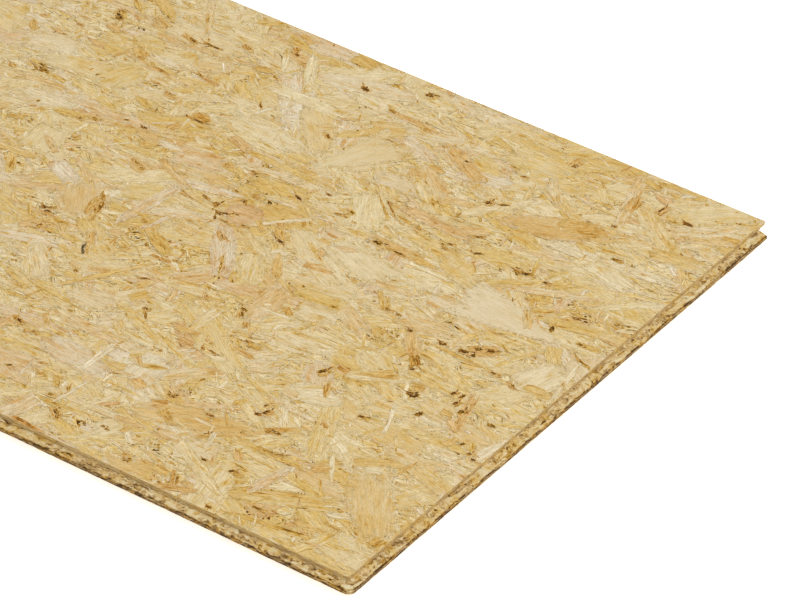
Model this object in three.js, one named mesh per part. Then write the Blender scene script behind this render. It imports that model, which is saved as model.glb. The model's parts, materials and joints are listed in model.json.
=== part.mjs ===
import * as THREE from 'three';

// OSB flooring panel with tongues milled on two adjacent edges and matching grooves on the other
// two. It lies flat on its underside. Millimetres, +Z up, X along the panel's length. The origin
// is under the middle of the whole outline, tongues included, on the underside's plane.

// ---- driving dimensions, mm ----

// covering size: the face as it shows in a laid floor, without the tongues
const COVER_LENGTH = 2500;
const COVER_WIDTH = 675;
const THICKNESS = 18;

// the faces' long corners are broken by the sander
const ARRIS_BREAK = 0.5;

// tongue: a wedge with a blunt nose, centred in the thickness
const TONGUE_REACH = 9.5;
const TONGUE_ROOT = 8.6;
const TONGUE_NOSE = 4.8;
const NOSE_BREAK = 0.8;

// plan radius where the long and the short tongue meet at the corner
const TONGUE_CORNER_RADIUS = 8;

// groove: nearly parallel walls, wider than the tongue and a little deeper than it is long
const GROOVE_DEPTH = 10.5;
const GROOVE_MOUTH = 9.2;
const GROOVE_WALL_LEAN = 0.4;

// segments in the quarter turn of the tongue's corner
const CORNER_SEGMENTS = 10;

const WOOD_COLOUR = 0xcbb078;
const WOOD_ROUGHNESS = 0.72;

// ---- section of the edges ----

// Piecewise-linear lookup: the value at height z of a list of [z, value] knots.
function valueAt(knots, z) {
  for (let i = 1; i < knots.length; i += 1) {
    const [z0, v0] = knots[i - 1];
    const [z1, v1] = knots[i];
    if (z <= z1) {
      return v0 + ((v1 - v0) * (z - z0)) / (z1 - z0);
    }
  }
  return knots[knots.length - 1][1];
}

// How far the tongue edges stand out from the covering size at each height.
function tongueKnots() {
  const mid = THICKNESS / 2;
  const root = TONGUE_ROOT / 2;
  const nose = TONGUE_NOSE / 2;
  return [
    [0, -ARRIS_BREAK],
    [ARRIS_BREAK, 0],
    [mid - root, 0],
    [mid - nose, TONGUE_REACH - NOSE_BREAK],
    [mid - nose + NOSE_BREAK, TONGUE_REACH],
    [mid + nose - NOSE_BREAK, TONGUE_REACH],
    [mid + nose, TONGUE_REACH - NOSE_BREAK],
    [mid + root, 0],
    [THICKNESS - ARRIS_BREAK, 0],
    [THICKNESS, -ARRIS_BREAK],
  ];
}

// How far the groove edges are cut in from the covering size at each height.
function grooveKnots() {
  const mid = THICKNESS / 2;
  const mouth = GROOVE_MOUTH / 2;
  const bottom = mouth - GROOVE_WALL_LEAN;
  return [
    [0, ARRIS_BREAK],
    [ARRIS_BREAK, 0],
    [mid - mouth, 0],
    [mid - bottom, GROOVE_DEPTH],
    [mid + bottom, GROOVE_DEPTH],
    [mid + mouth, 0],
    [THICKNESS - ARRIS_BREAK, 0],
    [THICKNESS, ARRIS_BREAK],
  ];
}

// ---- solid ----

// Outline of the panel at one height, counter-clockwise from above. The corner between the two
// tongues is an arc; the other three corners are sharp.
function outlineAt(z, tongue, groove) {
  const out = valueAt(tongue, z);
  const cut = valueAt(groove, z);
  const share = Math.max(0, out) / TONGUE_REACH;
  const radius = 0.4 + (TONGUE_CORNER_RADIUS - 0.4) * share;
  const xTongue = COVER_LENGTH / 2 - TONGUE_REACH / 2 + out;
  const xGroove = -COVER_LENGTH / 2 - TONGUE_REACH / 2 + cut;
  const yTongue = -COVER_WIDTH / 2 + TONGUE_REACH / 2 - out;
  const yGroove = COVER_WIDTH / 2 + TONGUE_REACH / 2 - cut;
  const points = [[xGroove, yTongue]];
  for (let i = 0; i <= CORNER_SEGMENTS; i += 1) {
    const angle = (-0.5 + (0.5 * i) / CORNER_SEGMENTS) * Math.PI;
    const x = xTongue - radius + radius * Math.cos(angle);
    const y = yTongue + radius + radius * Math.sin(angle);
    points.push([x, y]);
  }
  points.push([xTongue, yGroove]);
  points.push([xGroove, yGroove]);
  return points;
}

// Closed solid through the outlines at every height where either section has a knot.
function panelGeometry() {
  const tongue = tongueKnots();
  const groove = grooveKnots();
  const heights = [...tongue, ...groove].map((knot) => knot[0]).sort((a, b) => a - b);
  const levels = heights.filter((z, i) => i === 0 || z - heights[i - 1] > 1e-6);
  const rings = levels.map((z) => outlineAt(z, tongue, groove));
  const count = rings[0].length;
  const positions = [];
  rings.forEach((ring, level) => {
    for (const [x, y] of ring) {
      positions.push(x, y, levels[level]);
    }
  });
  const index = [];
  for (let level = 0; level + 1 < rings.length; level += 1) {
    const low = level * count;
    const high = low + count;
    for (let i = 0; i < count; i += 1) {
      const j = (i + 1) % count;
      index.push(low + i, low + j, high + j);
      index.push(low + i, high + j, high + i);
    }
  }
  const flat = rings[0].map(([x, y]) => new THREE.Vector2(x, y));
  const flatTop = rings[rings.length - 1].map(([x, y]) => new THREE.Vector2(x, y));
  const topStart = (rings.length - 1) * count;
  for (const [a, b, c] of THREE.ShapeUtils.triangulateShape(flat, [])) {
    index.push(a, c, b);
  }
  for (const [a, b, c] of THREE.ShapeUtils.triangulateShape(flatTop, [])) {
    index.push(topStart + a, topStart + b, topStart + c);
  }
  const geometry = new THREE.BufferGeometry();
  geometry.setAttribute('position', new THREE.Float32BufferAttribute(positions, 3));
  geometry.setIndex(index);
  geometry.computeVertexNormals();
  return geometry;
}

function buildPanel() {
  const material = new THREE.MeshStandardMaterial({
    color: WOOD_COLOUR,
    roughness: WOOD_ROUGHNESS,
    metalness: 0,
  });
  const mesh = new THREE.Mesh(panelGeometry(), material);
  mesh.name = 'osb_panel';
  return mesh;
}

const group = new THREE.Group();
group.name = 'osb_flooring_panel';
group.add(buildPanel());

export default group;
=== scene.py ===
"""Looks of a tongued OSB floor panel: the milled board, its pressed strand faces and the studio."""

import json
import logging
import math
import random
from dataclasses import dataclass, field
from enum import Enum
from functools import partial
from typing import Any, Mapping, Sequence

import bmesh
import bpy
import numpy as np
from mathutils import Matrix, Vector

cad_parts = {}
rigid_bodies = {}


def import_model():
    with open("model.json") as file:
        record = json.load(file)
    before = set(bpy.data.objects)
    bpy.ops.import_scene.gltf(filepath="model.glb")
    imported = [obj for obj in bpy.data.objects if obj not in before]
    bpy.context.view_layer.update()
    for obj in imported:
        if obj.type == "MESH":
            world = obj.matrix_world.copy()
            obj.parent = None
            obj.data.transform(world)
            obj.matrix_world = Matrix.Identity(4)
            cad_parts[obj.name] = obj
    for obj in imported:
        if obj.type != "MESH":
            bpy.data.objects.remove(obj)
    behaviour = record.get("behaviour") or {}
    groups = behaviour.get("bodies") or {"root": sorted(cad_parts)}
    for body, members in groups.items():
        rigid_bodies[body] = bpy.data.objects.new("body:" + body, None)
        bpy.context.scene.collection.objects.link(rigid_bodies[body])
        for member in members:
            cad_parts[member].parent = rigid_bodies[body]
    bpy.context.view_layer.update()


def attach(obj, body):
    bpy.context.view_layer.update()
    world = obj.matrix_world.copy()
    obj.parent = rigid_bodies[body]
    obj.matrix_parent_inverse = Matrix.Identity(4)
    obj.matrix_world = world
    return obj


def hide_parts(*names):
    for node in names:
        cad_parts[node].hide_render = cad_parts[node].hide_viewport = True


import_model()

LOG = logging.getLogger("osb_panel")
MM = 0.001


# ---------------------------------------------------------------- helpers


def linear(hex_colour: str) -> tuple[float, float, float, float]:
    """Turns an sRGB hex colour into the linear RGBA that shader sockets take.

    Args:
        hex_colour: Six hex digits after a hash.

    Returns:
        Linear red, green and blue, with an alpha of 1.
    """
    parts = [int(hex_colour[i : i + 2], 16) / 255 for i in (1, 3, 5)]
    turned = [c / 12.92 if c <= 0.04045 else ((c + 0.055) / 1.055) ** 2.4 for c in parts]
    return (turned[0], turned[1], turned[2], 1.0)


def feed(node: bpy.types.Node, inputs: Mapping[Any, Any]) -> None:
    """Gives a node its input values and incoming links.

    Args:
        node: Node that takes them.
        inputs: A plain value or a source socket for each input, by name or number.
    """
    for name, value in inputs.items():
        if isinstance(value, bpy.types.NodeSocket):
            node.id_data.links.new(value, node.inputs[name])
        else:
            node.inputs[name].default_value = value


def add_node(
    tree: bpy.types.NodeTree,
    kind: str,
    settings: Mapping[str, Any] | None = None,
    inputs: Mapping[Any, Any] | None = None,
) -> bpy.types.bpy_prop_collection:
    """Adds one node with its settings, input values and incoming links.

    Args:
        tree: Node tree that takes the node.
        kind: Blender's class name of the node.
        settings: Properties of the node.
        inputs: A plain value or a source socket for each input, by name or number.

    Returns:
        The node's outputs.
    """
    node = tree.nodes.new(kind)
    for name, value in (settings or {}).items():
        setattr(node, name, value)
    feed(node, inputs or {})
    return node.outputs


def set_stops(colour: bpy.types.NodeSocket, stops: Sequence[tuple[float, str]]) -> None:
    """Fills the colour ramp that a socket belongs to.

    Args:
        colour: Colour output of a Color Ramp node.
        stops: Position and sRGB hex colour of each stop, in rising order.
    """
    elements = colour.node.color_ramp.elements
    elements.remove(elements[-1])
    elements[0].position = stops[0][0]
    elements[0].color = linear(stops[0][1])
    for position, shade in stops[1:]:
        elements.new(position).color = linear(shade)


def new_material(name: str) -> tuple[bpy.types.Material, bpy.types.Node]:
    """Makes a material with nothing but its shader.

    Args:
        name: What the real material is and how its surface was made.

    Returns:
        The material and its shader node.
    """
    material = bpy.data.materials.new(name)
    material.use_nodes = True
    return material, material.node_tree.nodes["Principled BSDF"]


def new_tree(name: str, inputs: Mapping[str, str]) -> bpy.types.NodeTree:
    """Makes an empty Geometry Nodes tree with named inputs and one geometry output.

    Args:
        name: Name of the tree.
        inputs: Kind of each named input, without the leading NodeSocket.

    Returns:
        The new tree.
    """
    tree = bpy.data.node_groups.new(name, "GeometryNodeTree")
    for label, kind in inputs.items():
        tree.interface.new_socket(name=label, in_out="INPUT", socket_type=f"NodeSocket{kind}")
    tree.interface.new_socket(name="Geometry", in_out="OUTPUT", socket_type="NodeSocketGeometry")
    return tree


def add_object(name: str, data: bpy.types.ID) -> bpy.types.Object:
    """Puts an object into the scene.

    Args:
        name: Name of the object.
        data: Its mesh, light or camera.

    Returns:
        The object, at the origin.
    """
    made = bpy.data.objects.new(name, data)
    bpy.context.scene.collection.objects.link(made)
    return made


def store_map(mesh: bpy.types.Mesh, spots: np.ndarray) -> None:
    """Gives a mesh its flat map for the export.

    Args:
        mesh: Mesh that takes the map.
        spots: U and V of every face corner.
    """
    layer = mesh.uv_layers.new(name="OFBake")
    layer.data.foreach_set("uv", spots.astype(np.float32).ravel())


def run_tree(mesh: bpy.types.Mesh, tree: bpy.types.NodeTree, values: Mapping[str, Any]) -> bpy.types.Mesh:
    """Runs a Geometry Nodes tree on a mesh and returns the plain mesh it makes.

    Args:
        mesh: Mesh that the tree starts from.
        tree: Tree to run.
        values: Value of each named input.

    Returns:
        The evaluated mesh, free of modifiers and instances.
    """
    carrier = add_object("carrier", mesh)
    modifier = carrier.modifiers.new(tree.name, "NODES")
    modifier.node_group = tree
    for item in tree.interface.items_tree:
        if item.item_type == "SOCKET" and item.in_out == "INPUT" and item.name in values:
            modifier[item.identifier] = values[item.name]
    carrier.update_tag()
    graph = bpy.context.evaluated_depsgraph_get()
    made = bpy.data.meshes.new_from_object(carrier.evaluated_get(graph), depsgraph=graph)
    carrier.modifiers.remove(modifier)
    bpy.data.objects.remove(carrier)
    return made


def finish_piece(name: str, mesh: bpy.types.Mesh) -> bpy.types.Object:
    """Puts a finished mesh into the scene as a piece of the panel.

    Args:
        name: Name of the piece.
        mesh: Its mesh, with its place in it.

    Returns:
        The piece, which rides on the panel's body.
    """
    piece = add_object(name, mesh)
    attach(piece, "root")
    triangles = sum(len(face.vertices) - 2 for face in mesh.polygons)
    LOG.info("%s: %d triangles", name, triangles)
    return piece


# ---------------------------------------------------------------- sizes


@dataclass(frozen=True)
class PanelSizes:
    """Sizes of the panel in millimetres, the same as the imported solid's."""

    cover_length: float = 2500.0
    cover_width: float = 675.0
    thickness: float = 18.0
    reach: float = 9.5
    tongue_root: float = 8.6
    tongue_nose: float = 4.8
    nose_break: float = 0.8
    corner_radius: float = 8.0
    groove_depth: float = 10.5
    groove_mouth: float = 9.2
    groove_wall_lean: float = 0.4
    skin: float = 0.5  # depth of the loose strands that lie on each face

    @property
    def x_tongue(self) -> float:
        """X of the shoulder over the short tongue."""
        return (self.cover_length - self.reach) / 2

    @property
    def x_groove(self) -> float:
        """X of the lips of the short groove."""
        return -(self.cover_length + self.reach) / 2

    @property
    def y_tongue(self) -> float:
        """Y of the shoulder over the long tongue."""
        return -(self.cover_width - self.reach) / 2

    @property
    def y_groove(self) -> float:
        """Y of the lips of the long groove."""
        return (self.cover_width + self.reach) / 2


class Face(Enum):
    """The two pressed faces of the panel."""

    TOP = "top"
    UNDERSIDE = "underside"


# ---------------------------------------------------------------- finishes


Amount = float | bpy.types.NodeSocket  # a plain number, or one that a node works out


@dataclass(frozen=True)
class Ramp:
    """An even change from start to end while a value goes from low to high."""

    low: Amount = 0.0
    high: Amount = 1.0
    start: Amount = 0.0
    end: Amount = 1.0

    def over(self, value: bpy.types.NodeSocket) -> dict[str, Amount]:
        """Gives the inputs of a Map Range node.

        Args:
            value: The value that goes from low to high.

        Returns:
            A value or socket for each input, by name.
        """
        names = ("Value", "From Min", "From Max", "To Min", "To Max")
        return dict(zip(names, (value, self.low, self.high, self.start, self.end)))


@dataclass(frozen=True)
class GrainLayer:
    """One pattern of the wood: noise drawn out along the grain that shifts the tone.

    Sizes are in millimetres. Noise between low and high shifts the tone from start to end.
    """

    along: float
    across: float
    low: float
    high: float
    start: float
    end: float
    up: float = 1.0
    detail: float = 2.0


PATTERN_STEP = 13.7  # keeps the noise of summed patterns apart
NOISE_ROUGHNESS = 0.55


def sum_layers(
    tree: bpy.types.NodeTree,
    place: bpy.types.NodeSocket,
    tone: Amount,
    layers: Sequence[GrainLayer],
) -> bpy.types.NodeSocket:
    """Adds wood patterns to a tone.

    Args:
        tree: Node tree of a material or a shape.
        place: Coordinates in millimetres, with X along the grain.
        tone: Tone to start from.
        layers: Patterns to add.

    Returns:
        The summed tone.
    """
    add = partial(add_node, tree)
    total = tone
    for number, layer in enumerate(layers):
        per_mm = (1 / layer.along, 1 / layer.across, 1 / layer.up)
        drawn = add(
            "ShaderNodeVectorMath", {"operation": "MULTIPLY_ADD"},
            {0: place, 1: per_mm, 2: (0.0, 0.0, PATTERN_STEP * number)}
        )[0]
        noise = add(
            "ShaderNodeTexNoise",
            inputs={"Vector": drawn, "Scale": 1.0, "Detail": layer.detail, "Roughness": NOISE_ROUGHNESS}
        )["Fac"]
        change = Ramp(layer.low, layer.high, layer.start, layer.end)
        shift = add("ShaderNodeMapRange", inputs=change.over(noise))["Result"]
        total = add("ShaderNodeMath", {"operation": "ADD"}, {0: total, 1: shift})[0]
    return total


def mix_woods(
    tree: bpy.types.NodeTree,
    tone: bpy.types.NodeSocket,
    share: bpy.types.NodeSocket,
    woods: Sequence[Sequence[tuple[float, str]]],
) -> bpy.types.NodeSocket:
    """Colours a tone as two kinds of wood and mixes them.

    Args:
        tree: Material's node tree.
        tone: Tone, from pale sapwood at 0 to bark at 1.
        share: Share of the second wood.
        woods: Colour stops of the two woods.

    Returns:
        The colour.
    """
    add = partial(add_node, tree)
    colours = []
    for stops in woods:
        colours.append(add("ShaderNodeValToRGB", inputs={"Fac": tone})["Color"])
        set_stops(colours[-1], stops)
    return add("ShaderNodeMix", {"data_type": "RGBA"}, {0: share, 6: colours[0], 7: colours[1]})[2]


GOLDEN_TONES = (
    (0.00, "#dac8a5"), (0.15, "#d0c099"), (0.30, "#c9b68c"), (0.42, "#c6b080"), (0.52, "#c3a76a"),
    (0.62, "#bf9f58"), (0.70, "#b58e44"), (0.78, "#a57b2c"), (0.86, "#8d620e"), (0.93, "#714b06"),
    (1.00, "#462c04")
)
ROSY_TONES = (
    (0.00, "#d7c9b0"), (0.15, "#cdc0a5"), (0.30, "#c6b698"), (0.42, "#c4ae8a"), (0.52, "#c1a376"),
    (0.62, "#bd9763"), (0.70, "#b5874d"), (0.78, "#a7742d"), (0.86, "#8e5b0e"), (0.93, "#714506"),
    (1.00, "#462904")
)
MILLED_TONES = (
    (0.15, "#cfc3a6"), (0.30, "#cabd99"), (0.42, "#c6b388"), (0.52, "#bfa676"), (0.62, "#b39662"),
    (0.70, "#a18353"), (0.78, "#8d6f42"), (0.86, "#73562c"), (0.93, "#593e19"), (1.00, "#3c280a")
)


@dataclass(frozen=True)
class PressedStrandFinish:
    """Softwood strands, flaked along the grain, waxed, glued and pressed flat.

    The eye sees pale straw-coloured wood with fine straight fibres. Broad strands come out of a
    bed of crumbs and fibres and sink back into it at their rims, with blushes of golden
    heartwood, a few dark bark flecks and a faint wax sheen.
    """

    name: str = "softwood strand, flaked and pressed"
    tones: tuple[GrainLayer, ...] = (
        GrainLayer(80.0, 3.2, 0.30, 0.70, -0.11, 0.11),  # growth rings
        GrainLayer(26.0, 8.0, 0.30, 0.70, -0.13, 0.13),  # mottling from the press
        GrainLayer(20.0, 8.0, 0.53, 0.78, 0.00, 0.56, detail=4.0),  # heartwood, darkest at knots
        GrainLayer(9.0, 1.6, 0.62, 0.76, 0.00, 0.44, detail=1.0),  # splits along the grain
    )
    fibres: tuple[GrainLayer, ...] = (
        GrainLayer(12.0, 1.0, 0.25, 0.75, -0.31, 0.33),  # fibres, drawn at 1 mm so that they show
        GrainLayer(2.6, 1.0, 0.30, 0.70, -0.18, 0.18),  # crushed fibre ends
        GrainLayer(8.0, 1.2, 0.26, 0.38, -0.60, 0.00),  # checks, open along the grain, darkened: painted shade in the cracks
    )
    cracks: tuple[GrainLayer, ...] = (
        GrainLayer(5.0, 1.3, 0.38, 0.62, -0.16, 0.16),  # dark wood, streaked along the grain
        GrainLayer(2.0, 2.0, 0.35, 0.65, -0.10, 0.06),
    )
    grain_wave: tuple[float, float] = (0.025, 0.03)  # waves per mm, along and across the grain
    grain_sway: float = 6.0  # mm
    calm: Ramp = Ramp(6 * MM, 62 * MM, 1.0, 0.35)  # by width: broad strands are the smoothest
    room: Ramp = Ramp(0.28, 0.80, 1.0, 0.15)  # by tone: dark strands vary the least
    knotty: Ramp = Ramp(0.50, 0.80)  # by tone: dark strands are streaked like knots
    crumb_mm: tuple[float, float] = (9.0, 2.0)
    crumb_turns: tuple[float, ...] = (-38.0, 5.0, 49.0)
    crumb_step: float = 7.3  # keeps the patterns of the turns apart
    crumb_bend: tuple[float, float] = (0.07, 9.0)  # bends per mm, and their swing in mm
    crumb_fibre: tuple[float, float] = (0.12, 0.95)  # fibres per mm, along and across
    crumb_tone: Ramp = Ramp(start=0.26, end=0.55)
    crumb_light: Ramp = Ramp(0.25, 0.75, 0.63, 1.37)
    crumb_gap_shade: Ramp = Ramp(0.28, 0.40, -0.50, 0.00)  # painted shade: the gaps between crumbs are darker
    mat: tuple[GrainLayer, ...] = (
        GrainLayer(45.0, 25.0, 0.30, 0.70, -0.10, 0.10),  # thick and thin places in the mat
        GrainLayer(22.0, 12.0, 0.54, 0.70, 0.00, 0.28, detail=4.0),  # heartwood crumbs
    )
    barky: Ramp = Ramp(0.78, 0.90)  # the few crumbs that can be bark
    bark: GrainLayer = GrainLayer(34.0, 20.0, 0.52, 0.64, 0.00, 0.45, detail=3.0)
    rims: tuple[GrainLayer, ...] = (
        GrainLayer(6.0, 3.0, 0.30, 0.70, -0.18, 0.18),  # rims, torn rather than cut
        GrainLayer(2.2, 1.4, 0.30, 0.70, -0.16, 0.16),
    )
    fade: Ramp = Ramp(start=0.30, end=0.98)  # by boldness: how far out a strand shows in full
    gone: float = 1.1  # how far out nothing of it shows; its rim is at 1
    gaps: tuple[GrainLayer, ...] = (
        GrainLayer(9.0, 6.0, 0.40, 0.62, -0.12, -1.10),  # shadow gaps at the rims of strands
    )
    drift: GrainLayer = GrainLayer(170.0, 110.0, 0.30, 0.70, -0.10, 0.10)
    amber: tuple[float, float, float] = (0.9, 1.0, 1.35)  # powers on red, green and blue
    darkest: float = 0.24
    bump: tuple[float, float] = (0.25, 0.4 * MM)  # strength and depth
    roughness: float = 0.6
    ior: float = 1.48
    specular: float = 0.1

    def crumbs(self, tree: bpy.types.NodeTree, place: bpy.types.NodeSocket) -> bpy.types.NodeSocket:
        """Draws crumbs at several turns, the one that fell last on top.

        Args:
            tree: Material's node tree.
            place: Object coordinates in millimetres.

        Returns:
            A vector of chance, fibre and order, each from 0 to 1.
        """
        add = partial(add_node, tree)
        per_mm, swing = self.crumb_bend
        noise = add("ShaderNodeTexNoise", inputs={"Vector": place, "Scale": per_mm, "Detail": 2.0})["Color"]
        bent = add(
            "ShaderNodeVectorMath", {"operation": "MULTIPLY_ADD"},
            {0: noise, 1: (swing, swing, 0.0), 2: place}
        )[0]
        top = None
        for number, turn in enumerate(self.crumb_turns):
            turned = add(
                "ShaderNodeVectorRotate", {"rotation_type": "Z_AXIS"},
                {"Vector": bent, "Angle": math.radians(turn)}
            )[0]
            per_crumb = (1 / self.crumb_mm[0], 1 / self.crumb_mm[1], 0.0)
            laid = add(
                "ShaderNodeVectorMath", {"operation": "MULTIPLY_ADD"},
                {0: turned, 1: per_crumb, 2: (0.0, 0.0, self.crumb_step * number)}
            )[0]
            cell = add("ShaderNodeTexVoronoi", inputs={"Vector": laid, "Scale": 1.0})["Color"]
            chance = add("ShaderNodeSeparateXYZ", inputs={0: cell})
            thin = add(
                "ShaderNodeVectorMath", {"operation": "MULTIPLY"}, {0: turned, 1: (*self.crumb_fibre, 1.0)}
            )[0]
            fibre = add("ShaderNodeTexNoise", inputs={"Vector": thin, "Scale": 1.0, "Detail": 2.0})["Fac"]
            crumb = add("ShaderNodeCombineXYZ", inputs={0: chance[0], 1: fibre, 2: chance[1]})[0]
            if top is None:
                top = crumb
                continue
            order = add("ShaderNodeSeparateXYZ", inputs={0: top})[2]
            later = add("ShaderNodeMath", {"operation": "GREATER_THAN"}, {0: chance[1], 1: order})[0]
            top = add("ShaderNodeMix", {"data_type": "VECTOR"}, {0: later, 4: top, 5: crumb})[1]
        return top

    def bed(
        self, tree: bpy.types.NodeTree, place: bpy.types.NodeSocket
    ) -> tuple[bpy.types.NodeSocket, bpy.types.NodeSocket]:
        """Draws the bed of crumbs and fibres, the same under every strand.

        Args:
            tree: Material's node tree.
            place: Object coordinates in millimetres.

        Returns:
            Its tone, and its brightness with painted shade in the gaps between crumbs.
        """
        add = partial(add_node, tree)
        crumb = add("ShaderNodeSeparateXYZ", inputs={0: self.crumbs(tree, place)})
        start = add("ShaderNodeMapRange", inputs=self.crumb_tone.over(crumb[0]))[0]
        barky = add("ShaderNodeMapRange", inputs=self.barky.over(crumb[0]))[0]
        tone = add(
            "ShaderNodeMath", {"operation": "MULTIPLY_ADD"},
            {
                0: barky, 1: sum_layers(tree, place, 0.0, (self.bark,)),
                2: sum_layers(tree, place, start, self.mat)
            }
        )[0]
        light = add("ShaderNodeMapRange", inputs=self.crumb_light.over(crumb[1]))[0]
        # painted shade: the gaps between crumbs are darker
        gap_shade = add("ShaderNodeMapRange", inputs=self.crumb_gap_shade.over(crumb[1]))[0]
        return tone, add("ShaderNodeMath", {"operation": "ADD"}, {0: light, 1: gap_shade})[0]

    def strand(
        self, tree: bpy.types.NodeTree, read: Mapping[str, bpy.types.bpy_prop_collection]
    ) -> tuple[bpy.types.NodeSocket, bpy.types.NodeSocket]:
        """Draws the wood of the strands, each along its own grain.

        Args:
            tree: Material's node tree.
            read: What the nodes that read the strands' attributes give, by name.

        Returns:
            Its tone, and its brightness with painted shade in the open checks.
        """
        add = partial(add_node, tree)
        grain, own_tone = read["grain"]["Vector"], read["tone"]["Fac"]
        # the grain waves a little along the strand
        slow = add(
            "ShaderNodeVectorMath", {"operation": "MULTIPLY"}, {0: grain, 1: (*self.grain_wave, 1.0)}
        )[0]
        wave = add("ShaderNodeTexNoise", inputs={"Vector": slow, "Scale": 1.0, "Detail": 1.0})["Color"]
        bent = add(
            "ShaderNodeVectorMath", {"operation": "MULTIPLY_ADD"},
            {0: wave, 1: (0.0, self.grain_sway, 0.0), 2: grain}
        )[0]
        calm = add("ShaderNodeMapRange", inputs=self.calm.over(read["width"]["Fac"]))[0]
        room = add("ShaderNodeMapRange", {"interpolation_type": "SMOOTHSTEP"}, self.room.over(own_tone))[0]
        sway = add("ShaderNodeMath", {"operation": "MULTIPLY"}, {0: calm, 1: room})[0]
        knotty = add("ShaderNodeMapRange", inputs=self.knotty.over(own_tone))[0]
        tone = add(
            "ShaderNodeMath", {"operation": "MULTIPLY_ADD"},
            {0: sum_layers(tree, bent, 0.0, self.tones), 1: sway, 2: own_tone}
        )[0]
        tone = add(
            "ShaderNodeMath", {"operation": "MULTIPLY_ADD"},
            {0: sum_layers(tree, grain, 0.0, self.cracks), 1: knotty, 2: tone}
        )[0]
        light = add(
            "ShaderNodeMath", {"operation": "MULTIPLY_ADD"},
            {0: sum_layers(tree, bent, 0.0, self.fibres), 1: calm, 2: 1.0}
        )[0]
        return tone, light

    def build(self) -> bpy.types.Material:
        """Makes the material.

        Returns:
            A material that reads each strand's own grain, local, width, tone, shade and bold
            attributes.
        """
        material, shader = new_material(self.name)
        tree = material.node_tree
        add = partial(add_node, tree)
        read = {
            name: add("ShaderNodeAttribute", {"attribute_name": name})
            for name in ("grain", "local", "width", "tone", "shade", "bold")
        }
        bold = read["bold"]["Fac"]
        metres = add("ShaderNodeTexCoord")["Object"]
        place = add("ShaderNodeVectorMath", {"operation": "SCALE"}, {0: metres, "Scale": 1 / MM})[0]
        bed_tone, bed_light = self.bed(tree, place)
        strand_tone, strand_light = self.strand(tree, read)

        # a bold strand shows up to its rim, a faint one is lost in the bed before it
        rim = add("ShaderNodeSeparateXYZ", inputs={0: read["local"]["Vector"]})[2]
        ragged = sum_layers(tree, read["grain"]["Vector"], rim, self.rims)
        full = add("ShaderNodeMapRange", inputs=self.fade.over(bold))[0]
        shows = add(
            "ShaderNodeMapRange", {"interpolation_type": "SMOOTHSTEP"}, Ramp(self.gone, full).over(ragged)
        )[0]
        tone = add("ShaderNodeMix", {"data_type": "FLOAT"}, {0: shows, 2: bed_tone, 3: strand_tone})[0]
        tone = sum_layers(tree, place, tone, (self.drift,))
        light = add("ShaderNodeMix", {"data_type": "FLOAT"}, {0: shows, 2: bed_light, 3: strand_light})[0]

        # halfway from strand to bed lies a shadow gap, but none on the sawn end of a strand
        halfway = add("ShaderNodeMath", {"operation": "PINGPONG"}, {0: shows, 1: 0.5})[0]
        cast = add(
            "ShaderNodeMath", {"operation": "MULTIPLY"},
            {0: bold, 1: sum_layers(tree, place, 0.0, self.gaps)}
        )[0]
        facing = add("ShaderNodeNewGeometry")["True Normal"]
        upward = add("ShaderNodeSeparateXYZ", inputs={0: facing})[2]
        level = add("ShaderNodeMath", {"operation": "ABSOLUTE"}, {0: upward})[0]
        cast = add("ShaderNodeMath", {"operation": "MULTIPLY"}, {0: cast, 1: level})[0]
        light = add("ShaderNodeMath", {"operation": "MULTIPLY_ADD"}, {0: halfway, 1: cast, 2: light})[0]

        # some strands lean to gold and others to rose
        colour = mix_woods(tree, tone, read["shade"]["Fac"], (GOLDEN_TONES, ROSY_TONES))
        # wood darkens towards brown, not grey: blue light is lost first
        light = add("ShaderNodeMath", {"operation": "MAXIMUM"}, {0: light, 1: self.darkest})[0]
        lost = {
            axis: add("ShaderNodeMath", {"operation": "POWER"}, {0: light, 1: power})[0]
            for axis, power in enumerate(self.amber)
        }
        shading = add("ShaderNodeCombineXYZ", inputs=lost)[0]
        lit = add("ShaderNodeVectorMath", {"operation": "MULTIPLY"}, {0: colour, 1: shading})[0]
        strength, deep = self.bump
        bump = add("ShaderNodeBump", inputs={"Height": light, "Strength": strength, "Distance": deep})[0]
        feed(shader, {
            "Base Color": lit, "Normal": bump, "Roughness": self.roughness, "IOR": self.ior,
            "Specular IOR Level": self.specular,
        })
        return material


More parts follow.
